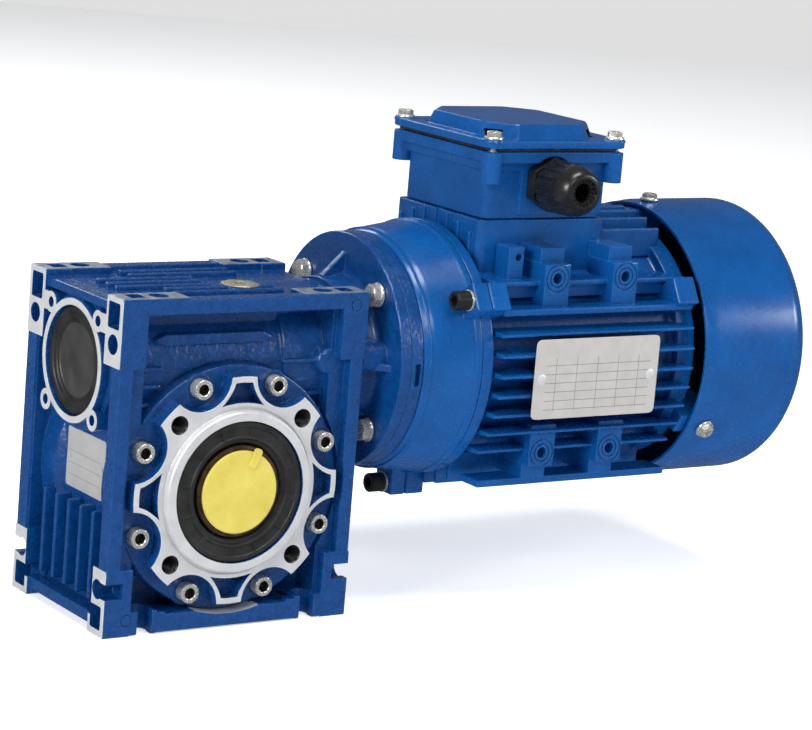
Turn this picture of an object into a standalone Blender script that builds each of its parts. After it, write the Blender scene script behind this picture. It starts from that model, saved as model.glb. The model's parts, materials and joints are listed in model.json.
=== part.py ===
"""Worm gearmotor: a size 50 hollow-shaft worm gearbox with a flange-mounted three-phase motor.

Every size below is in millimetres, and MM turns it into Blender's metres as each mesh is made.
X runs along the worm and the motor, Y along the output shaft, and Z up from the foot. The drawing
point is where the output axis stands over the foot; the root empty moves the whole assembly so
that the world origin lies under the middle of its box.
"""
import math

import bmesh
import bpy
from mathutils import Matrix, Vector

MM = 0.001
GAP = 0.3
FINE, MEDIUM, SMALL, TINY = 24, 16, 8, 8

# Gearbox
HALF_LENGTH, HALF_WIDTH, HEIGHT = 60.0, 42.0, 144.0
OUTPUT_Z, CENTRE_DISTANCE = 60.0, 50.0
WORM_Z = OUTPUT_Z + CENTRE_DISTANCE
FRAME_BAR = 7.0
WEB_X = 49.0
FOOT_HOLE_X, FOOT_HOLE_Y, FOOT_HOLE_R = 40.0, 35.0, 4.25
FOOT_SLOT_HALF, SIDE_SLOT_HALF = 3.6, 3.4
SIDE_HOLE_LOW, SIDE_HOLE_HIGH = 20.0, 124.0
EAR_AT = 21.1
OIL_X, OIL_Y, OIL_SEAT = 12.0, -13.0, 143.2

# Output flanges, the same on both sides
FLANGE_FACE, PILOT_FACE, HUB_END = 42.5, 45.5, 43.5
STAR_R, SCALLOP_R, SCALLOP_AT = 49.7, 14.4, 53.7
PILOT_R, SEAL_R, HUB_R, BORE_R = 35.0, 31.0, 20.0, 12.5
OUTPUT_BEARING_R, BEARING_BACK, BEARING_FRONT = 34.0, 22.0, 37.0
COVER_SEAT, COVER_FACE, COVER_R = 29.0, 35.5, 53.5
COVER_SCREW_AT, PLUG_R = 47.75, 18.1
M5_HOLE_R, M4_HOLE_R = 2.6, 2.2
CHAMBER_R = 44.0
TAPPED_AT = 42.5

# Worm pair, one start on thirty teeth
MODULE, TEETH = 2.5, 30
WHEEL_R = MODULE * TEETH / 2
WORM_R = CENTRE_DISTANCE - WHEEL_R
LEAD = math.pi * MODULE
LEAD_ANGLE = math.atan(LEAD / (2 * math.pi * WORM_R))
TOOTH_SHARE = 0.40

# Worm shaft and its bearings
WORM_BEARING_R, WORM_SEAT_R, HOLLOW_R = 23.5, 12.5, 7.3
CAP_FACE, CAP_BACK = 58.5, 51.5
WORM_END = 80.0

# Input flange and motor
DISC_BACK, DISC_FACE, DISC_R = 72.3, 83.7, 52.5
SPIGOT_R, FLANGE_BOLT_AT = 35.0, 42.5
SHIELD_FACE, FRAME_FRONT, FRAME_REAR = 84.0, 111.7, 228.0
RIM_R, BARREL_R, STATOR_R, FIN_R = 57.7, 51.5, 47.5, 63.0
LUG_AT = 63.0
TOP_SIDE_FIN, FIN_PITCH = 16.0, 9.1
PAD_XS, PAD_FACE, PAD_HOLE = (151.3, 189.4), 53.5, 39.6
LUG_ANGLES = (30, 150, 270)
COWL_FRONT, COWL_REAR, COWL_R = 232.5, 296.0, 65.0
COWL_SCREW_X = 242.0
SLOTS = 16
COWL_SCREW_ANGLES = (90, 210, 330)
SHAFT_R = 7.0

# Terminal box
BOX_LOW_X, BOX_HIGH_X, BOX_HALF_Y, BOX_FLOOR, BOX_TOP = 124.0, 188.0, 32.0, 173.0, 203.7
LID_LOW_X, LID_HIGH_X, LID_HALF_Y, LID_FLANGE, LID_TOP = 118.0, 195.0, 40.0, 209.0, 215.0
GLAND_X, GLAND_Z, GLAND_END = 155.2, 189.0, 62.0

# The root empty puts the world origin under the middle of the assembly's box
ROOT_X = -(COWL_REAR - HALF_LENGTH) / 2


def clear_scene():
    for obj in list(bpy.data.objects):
        bpy.data.objects.remove(obj, do_unlink=True)


def new_collection(name, parent=None):
    made = bpy.data.collections.new(name)
    (parent or bpy.context.scene.collection).children.link(made)
    return made


def new_empty(name, at, parent=None):
    empty = bpy.data.objects.new(name, None)
    empty.empty_display_size = 10 * MM
    empty.location = Vector(at) * MM
    empty.parent = parent
    PARTS.objects.link(empty)
    return empty


def new_material(name, colour, roughness, metallic=0.0):
    material = bpy.data.materials.new(name)
    material.use_nodes = True
    shader = material.node_tree.nodes["Principled BSDF"]
    shader.inputs["Base Color"].default_value = (*colour, 1.0)
    shader.inputs["Roughness"].default_value = roughness
    shader.inputs["Metallic"].default_value = metallic
    material.diffuse_color = (*colour, 1.0)
    return material


clear_scene()
PARTS = new_collection("worm_gearmotor")
TOOLS = new_collection("cutters")
ROOT = new_empty("root", (ROOT_X, 0, 0))
OUTPUT_AXIS = new_empty("output_axis", (0, 0, OUTPUT_Z), ROOT)
MOTOR_AXIS = new_empty("motor_axis", (0, 0, WORM_Z), ROOT)

PAINT = new_material("blue_paint", (0.010, 0.085, 0.36), 0.38)
MOTOR_PAINT = new_material("motor_paint", (0.008, 0.11, 0.42), 0.30)
STEEL = new_material("steel", (0.62, 0.61, 0.58), 0.30, 1.0)
BLACK_STEEL = new_material("black_steel", (0.025, 0.025, 0.027), 0.42, 0.8)
RUBBER = new_material("black_rubber", (0.018, 0.018, 0.018), 0.62)
BRONZE = new_material("bronze", (0.55, 0.36, 0.14), 0.35, 1.0)
IRON = new_material("cast_iron", (0.20, 0.20, 0.21), 0.55, 1.0)
PLASTIC = new_material("yellow_plastic", (0.80, 0.60, 0.07), 0.45)
BLACK_PLASTIC = new_material("black_plastic", (0.012, 0.012, 0.013), 0.35)
LABEL = new_material("label_metal", (0.72, 0.72, 0.70), 0.35, 0.6)
COPPER = new_material("copper_winding", (0.60, 0.22, 0.08), 0.40, 1.0)
LAMINATION = new_material("laminated_steel", (0.30, 0.31, 0.33), 0.45, 1.0)


# ---------------------------------------------------------------- shapes
def as_object(bm, name):
    """Turn a bmesh whose sizes are millimetres into an object in metres."""
    bmesh.ops.scale(bm, vec=(MM, MM, MM), verts=bm.verts)
    mesh = bpy.data.meshes.new(name)
    bm.to_mesh(mesh)
    bm.free()
    return bpy.data.objects.new(name, mesh)


def block(low, high, bevel=0.0):
    """A box between two corners, with rounded edges where bevel is given."""
    bm = bmesh.new()
    bmesh.ops.create_cube(bm, size=1.0)
    size = [h - l for l, h in zip(low, high)]
    middle = [(h + l) / 2 for l, h in zip(low, high)]
    bmesh.ops.scale(bm, vec=size, verts=bm.verts)
    if bevel:
        bmesh.ops.bevel(bm, geom=bm.edges[:], offset=bevel, segments=2, affect="EDGES", profile=0.5)
    bmesh.ops.translate(bm, vec=middle, verts=bm.verts)
    return as_object(bm, "block")


def rod(start, end, radius, sides=SMALL):
    """A cylinder between two points."""
    start, end = Vector(start), Vector(end)
    along = end - start
    bm = bmesh.new()
    bmesh.ops.create_cone(bm, cap_ends=True, segments=sides, radius1=radius, radius2=radius, depth=along.length)
    turn = along.to_track_quat("Z", "Y").to_matrix().to_4x4()
    bmesh.ops.transform(bm, matrix=Matrix.Translation((start + end) / 2) @ turn, verts=bm.verts)
    return as_object(bm, "rod")


AXIS_TURNS = {"X": Matrix.Rotation(math.pi / 2, 4, "Y"), "Y": Matrix.Rotation(-math.pi / 2, 4, "X"),
              "Z": Matrix.Identity(4)}


def turned(axis, profile, sides=FINE, centre=(0, 0, 0)):
    """A turned solid; profile lists (distance along the axis, radius) around its section."""
    on_axis = profile[0][1] == 0 and profile[-1][1] == 0
    area = sum(r0 * a1 - r1 * a0 for (a0, r0), (a1, r1) in zip(profile, profile[1:] + profile[:1]))
    points = profile if area < 0 else profile[::-1]
    bm = bmesh.new()
    verts = [bm.verts.new((r, 0, a)) for a, r in points]
    for first, second in zip(verts, verts[1:] + ([] if on_axis else verts[:1])):
        bm.edges.new((first, second))
    obj = as_object(bm, "turned")
    screw = obj.modifiers.new("turn", "SCREW")
    screw.steps = screw.render_steps = sides
    screw.use_merge_vertices = True
    screw.merge_threshold = 0.00001
    screw.use_smooth_shade = False
    obj.matrix_world = Matrix.Translation(Vector(centre) * MM) @ AXIS_TURNS[axis]
    return as_mesh(obj)


def barrel(axis, low, high, radius, sides=FINE, centre=(0, 0, 0)):
    """A plain cylinder whose facets line up with the turned parts on its axis."""
    return turned(axis, [(low, 0), (low, radius), (high, radius), (high, 0)], sides, centre)


def as_mesh(obj):
    """Replace an object that a modifier or a curve makes by its plain, closed mesh."""
    bpy.context.scene.collection.objects.link(obj)
    bpy.context.view_layer.update()
    mesh = bpy.data.meshes.new_from_object(obj.evaluated_get(bpy.context.evaluated_depsgraph_get()))
    bm = bmesh.new()
    bm.from_mesh(mesh)
    bmesh.ops.remove_doubles(bm, verts=bm.verts, dist=0.00001)
    bm.transform(obj.matrix_world)
    bmesh.ops.recalc_face_normals(bm, faces=bm.faces)
    bm.to_mesh(mesh)
    bm.free()
    bpy.data.objects.remove(obj, do_unlink=True)
    return bpy.data.objects.new("solid", mesh)


PLANE_TURNS = {"X": Matrix(((0, 0, 1, 0), (1, 0, 0, 0), (0, 1, 0, 0), (0, 0, 0, 1))),
               "Y": Matrix(((1, 0, 0, 0), (0, 0, -1, 0), (0, 1, 0, 0), (0, 0, 0, 1))),
               "Z": Matrix.Identity(4)}


def plate(axis, outline, low, high, centre=(0, 0)):
    """A flat outline between two heights along an axis; its points lie in the other two axes."""
    curve = bpy.data.curves.new("outline", "CURVE")
    curve.dimensions = "2D"
    curve.fill_mode = "BOTH"
    curve.extrude = (high - low) / 2 * MM
    spline = curve.splines.new("POLY")
    spline.points.add(len(outline) - 1)
    for point, (u, v) in zip(spline.points, outline):
        point.co = ((u + centre[0]) * MM, (v + centre[1]) * MM, 0, 1)
    spline.use_cyclic_u = True
    obj = bpy.data.objects.new("outline", curve)
    side = -1 if axis == "Y" else 1
    lift = Matrix.Translation((0, 0, side * (low + high) / 2 * MM))
    obj.matrix_world = PLANE_TURNS[axis] @ lift
    return as_mesh(obj)


def around(angle, radius):
    """The point at an angle in degrees and a radius, as (first axis, second axis)."""
    return radius * math.cos(math.radians(angle)), radius * math.sin(math.radians(angle))


BOOLEANS = []
MERGED = ("gearbox_housing",)


def part(name, base, material, anchor=ROOT, adds=(), cuts=(), at=(0, 0, 0)):
    """Name a solid, hang it on its anchor, and note the shapes to join to it and cut from it."""
    base.name = name
    base.data.name = name
    base.parent = anchor
    base.location = Vector(at) * MM
    PARTS.objects.link(base)
    base.data.materials.clear()
    base.data.materials.append(material)
    for kind, shapes in (("UNION", adds), ("DIFFERENCE", cuts)):
        if not shapes:
            continue
        group = new_collection(f"{name}_{kind.lower()}", TOOLS)
        for shape in shapes:
            shape.parent = anchor
            shape.location = Vector(at) * MM
            shape.hide_render = True
            shape.display_type = "WIRE"
            group.objects.link(shape)
        BOOLEANS.append((base, kind, group))
    base.data.shade_smooth()
    base.data.set_sharp_from_angle(angle=math.radians(30))
    return base


def add_booleans():
    """Give each part its modifiers once every shape is made."""
    for base, kind, group in BOOLEANS:
        boolean = base.modifiers.new(kind.lower(), "BOOLEAN")
        boolean.operation = kind
        boolean.solver = "EXACT"
        boolean.operand_type = "COLLECTION"
        boolean.collection = group
    for name in MERGED:
        weld = bpy.data.objects[name].modifiers.new("close_points", "WELD")
        weld.merge_threshold = 0.00002
        tidy = bpy.data.objects[name].modifiers.new("flat_faces", "DECIMATE")
        tidy.decimate_type = "DISSOLVE"
        tidy.angle_limit = math.radians(0.5)


# ---------------------------------------------------------------- output flange shapes
def star_outline():
    """The machined flange face: a circle with a scallop cut at each of its eight screws."""
    reach = math.acos((SCALLOP_AT ** 2 + STAR_R ** 2 - SCALLOP_R ** 2) / (2 * SCALLOP_AT * STAR_R))
    corner_x = SCALLOP_AT - STAR_R * math.cos(reach)
    half_arc = math.atan2(STAR_R * math.sin(reach), corner_x)
    points = []
    for k in range(8):
        middle = math.radians(22.5 + 45 * k)
        for step in range(5):
            sweep = half_arc * (1 - step / 2)
            u = SCALLOP_AT - SCALLOP_R * math.cos(sweep)
            v = -SCALLOP_R * math.sin(sweep)
            points.append((u * math.cos(middle) - v * math.sin(middle),
                           u * math.sin(middle) + v * math.cos(middle)))
    return points


def window_outline(angle):
    """The cast pocket in one lobe of the star, a trapezoid that narrows outwards."""
    corners = ((38.4, -10.3), (46.8, -3.6), (46.8, 3.6), (38.4, 10.3))
    turn = math.radians(angle)
    return [(u * math.cos(turn) - v * math.sin(turn), u * math.sin(turn) + v * math.cos(turn))
            for u, v in corners]


def flange_cuts(side):
    """Windows, tapped holes and screw holes of an output flange; side is -1 in front, 1 behind."""
    cuts = []
    low, high = sorted((side * (COVER_FACE + 0.5), side * (FLANGE_FACE + 1)))
    for quarter in range(4):
        cuts.append(plate("Y", window_outline(90 * quarter), low, high))
        x, z = around(45 + 90 * quarter, TAPPED_AT)
        cuts.append(rod((x, side * (FLANGE_FACE - 10), z), (x, side * (FLANGE_FACE + 1), z), 3.6, TINY))
    return cuts


# ---------------------------------------------------------------- gearbox housing
def corner_signs():
    return [(sx, sy) for sx in (-1, 1) for sy in (-1, 1)]


def span(a, b):
    return (a, b) if a < b else (b, a)


def signed_block(sx, sy, x, y, z, bevel=0.0):
    """A box given for the +X +Y quarter, mirrored to the quarter that the signs name."""
    (x0, x1), (y0, y1) = span(sx * x[0], sx * x[1]), span(sy * y[0], sy * y[1])
    return block((x0, y0, z[0]), (x1, y1, z[1]), bevel=bevel)


def housing():
    wide, deep = HALF_LENGTH - 1.2, HALF_WIDTH - 0.3
    at_output, at_worm = (0, 0, OUTPUT_Z), (0, 0, WORM_Z)
    adds = [
        block((-wide + 0.4, -deep + 0.2, 136.5), (wide - 0.4, deep - 0.2, 141.2)),
        block((-wide + 0.4, -deep + 0.2, 2.8), (wide - 0.4, deep - 0.2, 8.0)),
        barrel("Y", -COVER_SEAT - 1, 31, 49.0, FINE, at_output),
        barrel("Y", -COVER_SEAT - 1, -22, COVER_R, FINE, at_output),
        barrel("Y", 22, COVER_FACE, COVER_R, FINE, at_output),
        plate("Y", star_outline(), COVER_FACE - 2, FLANGE_FACE, (0, OUTPUT_Z)),
        barrel("Y", FLANGE_FACE - 3, PILOT_FACE, PILOT_R, FINE, at_output),
        barrel("X", -57, 57, 29.5, MEDIUM, at_worm),
        barrel("X", -HALF_LENGTH, -50, 26.6, MEDIUM, at_worm),
        barrel("X", 50, HALF_LENGTH, 31.0, MEDIUM, at_worm),
    ]
    for side in (-1, 1):
        x0, x1 = span(side * (WEB_X - 5), side * WEB_X)
        adds.append(block((x0, -deep + 0.4, 5), (x1, deep - 0.4, 140)))
        y0, y1 = span(side * (deep - FRAME_BAR), side * deep)
        adds.append(block((-wide + 0.1, y0 + 0.1, 136.8), (wide - 0.1, y1 - 0.1, 143.3)))
        adds.append(block((-34, y0 + 0.2, 0.4), (34, y1 - 0.2, 8.4)))
        y0, y1 = span(side * 18, side * 31.6)
        adds += [block((x - 1.6, y0, 84), (x + 1.6, y1, 139)) for x in (-39, 25.5)]
        y0, y1 = span(side * 20, side * 32.2)
        adds.append(block((-37, y0, 121.6), (20, y1, 124.8)))
    for sx, sy in corner_signs():
        adds.append(signed_block(sx, sy, (46.5, wide), (deep - FRAME_BAR, deep), (1.0, 143.0)))
        adds.append(signed_block(sx, sy, (47.5, HALF_LENGTH), (27.5, HALF_WIDTH), (114.5, HEIGHT - 0.2)))
        adds.append(signed_block(sx, sy, (47.0, HALF_LENGTH), (28.0, HALF_WIDTH), (0.0, 29.0)))
        adds.append(signed_block(sx, sy, (28.0, 59.6), (28.2, 41.85), (137.5, HEIGHT)))
        adds.append(signed_block(sx, sy, (35.5, 58), (27.2, 41.5), (0.2, 10.5)))
    for sy, sz in corner_signs():
        y, z = sy * EAR_AT, WORM_Z + sz * EAR_AT
        adds.append(rod((-59.9, y, z), (-48.5, y, z), 4.6, TINY))
    for y in (-22, -11, 0, 11, 22):
        adds.append(block((-55, y - 1.2, 10), (-45, y + 1.2, 50)))
    for y in (-24, -16, 16, 24):
        adds.append(block((-26, y - 1.3, 139), (26, y + 1.3, 142.8)))
    adds.append(rod((OIL_X, OIL_Y, 137), (OIL_X, OIL_Y, 142.9), 9.5, SMALL))

    cuts = [
        barrel("Y", -HALF_WIDTH - 3, -COVER_SEAT, COVER_R + 0.5, FINE, at_output),
        barrel("Y", -COVER_SEAT - 5, 22, CHAMBER_R, FINE, at_output),
        barrel("Y", 20, BEARING_FRONT, OUTPUT_BEARING_R, FINE, at_output),
        barrel("Y", BEARING_FRONT - 1, PILOT_FACE + 2, SEAL_R, FINE, at_output),
        barrel("X", -HALF_LENGTH - 2, -37, WORM_BEARING_R, MEDIUM, at_worm),
        barrel("X", -38, 31, 18.0, MEDIUM, at_worm),
        barrel("X", 30, HALF_LENGTH + 2, WORM_BEARING_R, MEDIUM, at_worm),
        rod((OIL_X, OIL_Y, 118), (OIL_X, OIL_Y, 150), 6.3, SMALL),
    ]
    cuts += shifted(flange_cuts(1), OUTPUT_Z)
    for sy, sz in corner_signs():
        y, z = sy * EAR_AT, WORM_Z + sz * EAR_AT
        cuts.append(rod((-63, y, z), (-50, y, z), 2.2, TINY))
    for k in range(8):
        x, z = around(22.5 + 45 * k, COVER_SCREW_AT)
        z += OUTPUT_Z
        cuts.append(rod((x, -COVER_SEAT - 2, z), (x, -COVER_SEAT + 12, z), M5_HOLE_R, TINY))
    for sx, sy in corner_signs():
        hole_x, hole_y = sx * FOOT_HOLE_X, sy * FOOT_HOLE_Y
        cuts.append(rod((hole_x, hole_y, 134), (hole_x, hole_y, 150), FOOT_HOLE_R, SMALL))
        cuts.append(rod((hole_x, hole_y, -3), (hole_x, hole_y, 14), FOOT_HOLE_R, SMALL))
        foot_slot = (FOOT_HOLE_X - FOOT_SLOT_HALF, FOOT_HOLE_X + FOOT_SLOT_HALF)
        cuts.append(signed_block(sx, sy, foot_slot, (FOOT_HOLE_Y, 46), (-3, 13.5)))
        for z in (SIDE_HOLE_LOW, SIDE_HOLE_HIGH):
            cuts.append(rod((sx * 50.5, hole_y, z), (sx * 63, hole_y, z), FOOT_HOLE_R, SMALL))
        side_slot = (SIDE_HOLE_LOW - SIDE_SLOT_HALF, SIDE_HOLE_LOW + SIDE_SLOT_HALF)
        cuts.append(signed_block(sx, sy, (51.5, 63), (FOOT_HOLE_Y, 46), side_slot))
        cuts.append(signed_block(sx, sy, (52, 63), (30.2, 39.0), (130.5, 140.2)))
        cuts.append(signed_block(sx, sy, (52, 63), (30.6, 39.2), (3.4, 13.0)))
    base = block((-WEB_X + 0.5, -22.6, 5.5), (WEB_X - 0.5, 22.6, 139.5))
    return part("gearbox_housing", base, PAINT, adds=adds, cuts=cuts)


def shifted(shapes, up):
    """Lift shapes that were drawn about the output axis to that axis."""
    for shape in shapes:
        shape.data.transform(Matrix.Translation((0, 0, up * MM)))
    return shapes


# ---------------------------------------------------------------- output side
def cover():
    rough_bore, step_r = SEAL_R - 1, 42.8
    profile = [(-COVER_FACE, step_r), (-COVER_FACE, COVER_R), (-COVER_SEAT - GAP, COVER_R),
               (-COVER_SEAT - GAP, CHAMBER_R - GAP), (-BEARING_BACK, CHAMBER_R - GAP),
               (-BEARING_BACK, rough_bore),
               (-PILOT_FACE, rough_bore), (-PILOT_FACE, PILOT_R), (-COVER_FACE - 1, PILOT_R),
               (-COVER_FACE - 1, step_r)]
    star = plate("Y", star_outline(), -FLANGE_FACE, -COVER_FACE + 1.5)
    cuts = [barrel("Y", -PILOT_FACE - 1, -BEARING_FRONT + 1, SEAL_R),
            barrel("Y", -BEARING_FRONT, -BEARING_BACK + 1, OUTPUT_BEARING_R)] + flange_cuts(-1)
    for k in range(8):
        x, z = around(22.5 + 45 * k, COVER_SCREW_AT)
        cuts.append(rod((x, -COVER_FACE - 1, z), (x, -COVER_SEAT + 1, z), M5_HOLE_R, TINY))
    part("output_cover", turned("Y", profile), PAINT, OUTPUT_AXIS, adds=[star], cuts=cuts)


def socket_screw(name, material, anchor, at, turn, head_r, head_h, shank_r, shank_l, socket_r):
    """A cap screw whose head points along +Z before the turn; its seat is at the origin."""
    head = turned("Z", [(-shank_l, 0), (-shank_l, shank_r), (0, shank_r), (0, head_r), (head_h, head_r),
                        (head_h, 0)], TINY)
    socket = rod((0, 0, head_h - socket_r), (0, 0, head_h + 1), socket_r, 6)
    for shape in (head, socket):
        shape.data.transform(turn)
    return part(name, head, material, anchor, cuts=[socket], at=at)


def hex_screw(name, material, anchor, at, turn, flats_r, head_h, shank_r, shank_l, washer_r=0.0):
    """A hexagon screw with an optional washer face; its seat is at the origin."""
    rim = washer_r or flats_r * 0.8
    body = turned("Z", [(-shank_l, 0), (-shank_l, shank_r), (0, shank_r), (0, rim), (1.2, rim), (1.2, 0)], TINY)
    head = rod((0, 0, 0.6), (0, 0, head_h), flats_r, 6)
    for shape in (body, head):
        shape.data.transform(turn)
    return part(name, body, material, anchor, adds=[head], at=at)


FACING = {"-Y": Matrix.Rotation(math.pi / 2, 4, "X"), "-X": Matrix.Rotation(-math.pi / 2, 4, "Y"),
          "+Z": Matrix.Identity(4)}


def output_side():
    cover()
    for k in range(8):
        x, z = around(22.5 + 45 * k, COVER_SCREW_AT)
        socket_screw(f"cover_screw_{k + 1}", STEEL, OUTPUT_AXIS, (x, -COVER_FACE - GAP, z), FACING["-Y"],
                     4.3, 5.0, 2.15, 14.0, 2.3)
    for side, place in ((-1, "front"), (1, "rear")):
        seal_face, seal_back = side * (PILOT_FACE - 0.7), side * (BEARING_FRONT + GAP)
        section = [(seal_back, SEAL_R - GAP), (seal_back, HUB_R + GAP), (seal_face, HUB_R + 1.0),
                   (seal_face, SEAL_R - GAP)]
        part(f"output_seal_{place}", turned("Y", section), RUBBER, OUTPUT_AXIS)
        near, far = side * (BEARING_BACK + GAP), side * (BEARING_FRONT - GAP)
        race = [(near, HUB_R + GAP), (near, OUTPUT_BEARING_R - GAP), (far, OUTPUT_BEARING_R - GAP),
                (far, HUB_R + GAP)]
        part(f"output_bearing_{place}", turned("Y", race), STEEL, OUTPUT_AXIS)
        cap = side * (HUB_END + GAP)
        inner_end, outer_face = cap - side * 9, cap + side * 1.5
        plug = [(inner_end, 0), (inner_end, BORE_R - GAP), (cap, BORE_R - GAP), (cap, PLUG_R),
                (outer_face, PLUG_R), (outer_face, 0)]
        tab_low, tab_high = span(cap, cap + side * 1.4)
        tab = block((3.2, tab_low, 14.5), (6.4, tab_high, 19.2))
        tab.data.transform(Matrix.Rotation(math.radians(8), 4, "Y"))
        part(f"bore_plug_{place}", turned("Y", plug), PLASTIC, OUTPUT_AXIS, adds=[tab])
    hub_half = 13.2
    hub = [(-HUB_END, BORE_R), (-HUB_END, HUB_R), (-hub_half, HUB_R), (-hub_half, 27.0),
           (hub_half, 27.0), (hub_half, HUB_R), (HUB_END, HUB_R), (HUB_END, BORE_R)]
    keyway = block((-4, -HUB_END - 2, 9.0), (4, HUB_END + 2, 15.8))
    part("output_shaft", turned("Y", hub), IRON, OUTPUT_AXIS, cuts=[keyway])
    part("worm_wheel", wheel_blank(), BRONZE, OUTPUT_AXIS,
         cuts=[barrel("Y", -20, 20, 27.0 + GAP)])


# ---------------------------------------------------------------- worm pair
def wheel_blank():
    """Thirty slanted teeth, lofted across the face; a gap of the teeth faces the worm at rest."""
    half_width, slices = 11.0, 1
    root, tip, pitch = WHEEL_R - 2.9, WHEEL_R + MODULE, 2 * math.pi / TEETH
    share = (TOOTH_SHARE + 0.13, TOOTH_SHARE, TOOTH_SHARE - 0.16)
    bm = bmesh.new()
    rings = []
    for s in range(slices + 1):
        y = -half_width + 2 * half_width * s / slices
        slant = y * math.tan(LEAD_ANGLE) / WHEEL_R
        ring = []
        for tooth in range(TEETH):
            middle = math.pi / 2 + (tooth + 0.5) * pitch - slant
            for radius, part_share, edge in ((root, share[0], -1), (WHEEL_R, share[1], -1), (tip, share[2], -1),
                                             (tip, share[2], 1), (WHEEL_R, share[1], 1), (root, share[0], 1)):
                angle = middle + edge * part_share * pitch / 2
                ring.append(bm.verts.new((radius * math.cos(angle), y, radius * math.sin(angle))))
        rings.append(ring)
    for near, far in zip(rings, rings[1:]):
        for i in range(len(near)):
            j = (i + 1) % len(near)
            bm.faces.new((near[i], near[j], far[j], far[i]))
    bm.faces.new(rings[0])
    bm.faces.new(rings[-1])
    bmesh.ops.recalc_face_normals(bm, faces=bm.faces)
    return as_object(bm, "wheel")


def worm_thread(half_length=18.0):
    """The worm's single right-hand thread, a trapezium carried along a helix about X."""
    per_turn = 16
    turns = 2 * half_length / LEAD
    steps = int(turns * per_turn)
    inner, outer = WORM_R - 3.6, WORM_R + MODULE * 0.92
    foot, crest = LEAD * (TOOTH_SHARE + 0.12) / 2, LEAD * (TOOTH_SHARE - 0.16) / 2
    section = ((inner, -foot), (outer, -crest), (outer, crest), (inner, foot))
    bm = bmesh.new()
    rings = []
    for step in range(steps + 1):
        turn = 2 * math.pi * (step - steps / 2) / per_turn
        middle = LEAD * turn / (2 * math.pi)
        down = -math.pi / 2 + turn
        rings.append([bm.verts.new((middle + along, r * math.cos(down), r * math.sin(down)))
                      for r, along in section])
    for near, far in zip(rings, rings[1:]):
        for i in range(4):
            j = (i + 1) % 4
            bm.faces.new((near[i], near[j], far[j], far[i]))
    bm.faces.new(rings[0])
    bm.faces.new(rings[-1])
    bmesh.ops.recalc_face_normals(bm, faces=bm.faces)
    return as_object(bm, "thread")


def worm_side():
    root = WORM_R - 3.05
    shaft = [(-50.7, 0), (-50.7, 9.7), (-37.0, 9.7), (-37.0, root), (-25.0, root), (25.0, root),
             (27.0, 14.0), (29.7, 14.0), (29.7, WORM_SEAT_R), (WORM_END, WORM_SEAT_R),
             (WORM_END, HOLLOW_R), (47.0, HOLLOW_R), (45.0, 0)]
    keyway = block((44.0, -2.7, 5.0), (WORM_END + 2, 2.7, 9.6))
    part("worm_shaft", turned("X", shaft, MEDIUM), STEEL, MOTOR_AXIS, adds=[worm_thread()], cuts=[keyway])
    bearing("worm_bearing_cap_side", -50.7, -37.3, 10.0, WORM_BEARING_R - GAP)
    bearing("worm_bearing_motor_side", 30.3, 42.0, WORM_SEAT_R + GAP, WORM_BEARING_R - GAP)
    cap = [(-CAP_FACE + 1.0, 0), (-CAP_FACE + 1.0, 17.0), (-CAP_FACE, 17.6), (-CAP_FACE, WORM_BEARING_R - GAP),
           (-CAP_BACK, WORM_BEARING_R - GAP), (-CAP_BACK, 0)]
    part("worm_end_cap", turned("X", cap, MEDIUM), RUBBER, MOTOR_AXIS)
    seal = [(50.0, WORM_SEAT_R + GAP), (50.0, WORM_BEARING_R - GAP), (57.0, WORM_BEARING_R - GAP),
            (57.0, WORM_SEAT_R + 1.5)]
    part("worm_seal", turned("X", seal, MEDIUM), RUBBER, MOTOR_AXIS)


def bearing(name, low, high, bore, outer):
    """A ball bearing as one ring, in the place of its races and balls."""
    section = [(low, bore), (low, outer), (high, outer), (high, bore)]
    part(name, turned("X", section, MEDIUM), STEEL, MOTOR_AXIS)


def input_flange():
    profile = [(HALF_LENGTH + GAP, 15.5), (HALF_LENGTH + GAP, 33.0), (DISC_BACK, 34.5), (DISC_BACK, DISC_R),
               (DISC_FACE, DISC_R), (DISC_FACE, SPIGOT_R), (79.0, SPIGOT_R), (79.0, 27.0), (70.0, 27.0),
               (70.0, 15.5)]
    ribs = []
    for quarter in range(4):
        turn = Matrix.Rotation(math.radians(90 * quarter), 4, "X")
        rib = block((64.0, -2.0, 30.0), (73.5, 2.0, 44.0))
        rib.data.transform(turn)
        ribs.append(rib)
    boss = rod((HALF_LENGTH + 1, -35.5, 3.5), (DISC_BACK + 1, -35.5, 3.5), 5.5, TINY)
    cuts = [block((79.6, -54.0, -6.0), (82.4, -49.0, 5.0))]
    for sy, sz in corner_signs():
        y, z = sy * around(45, FLANGE_BOLT_AT)[0], sz * around(45, FLANGE_BOLT_AT)[1]
        cuts.append(rod((DISC_BACK - 1, y, z), (DISC_FACE + 1, y, z), 3.4, TINY))
    part("input_flange", turned("X", profile), PAINT, MOTOR_AXIS, adds=ribs + [boss], cuts=cuts)
    for k, (sy, sz) in enumerate(corner_signs()):
        y, z = sy * around(45, FLANGE_BOLT_AT)[0], sz * around(45, FLANGE_BOLT_AT)[1]
        hex_screw(f"flange_bolt_{k + 1}", STEEL, MOTOR_AXIS, (DISC_BACK - GAP, y, z), FACING["-X"],
                  5.6, 5.0, 2.9, 18.0, 5.3)


# ---------------------------------------------------------------- motor
def lug_blocks(low, high, reach=68.0, half=6.5):
    """A block at each of the three screw places round the motor, between two X positions."""
    blocks = []
    for angle in LUG_ANGLES:
        spin = Matrix.Rotation(math.radians(angle), 4, "X")
        lug = block((low, 48.0, -half), (high, reach, half))
        lug.data.transform(spin)
        blocks.append(lug)
    return blocks


def lug_holes(low, high, radius):
    holes = []
    for angle in LUG_ANGLES:
        y, z = around(angle, LUG_AT)
        holes.append(rod((low, y, z), (high, y, z), radius, TINY))
    return holes


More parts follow.
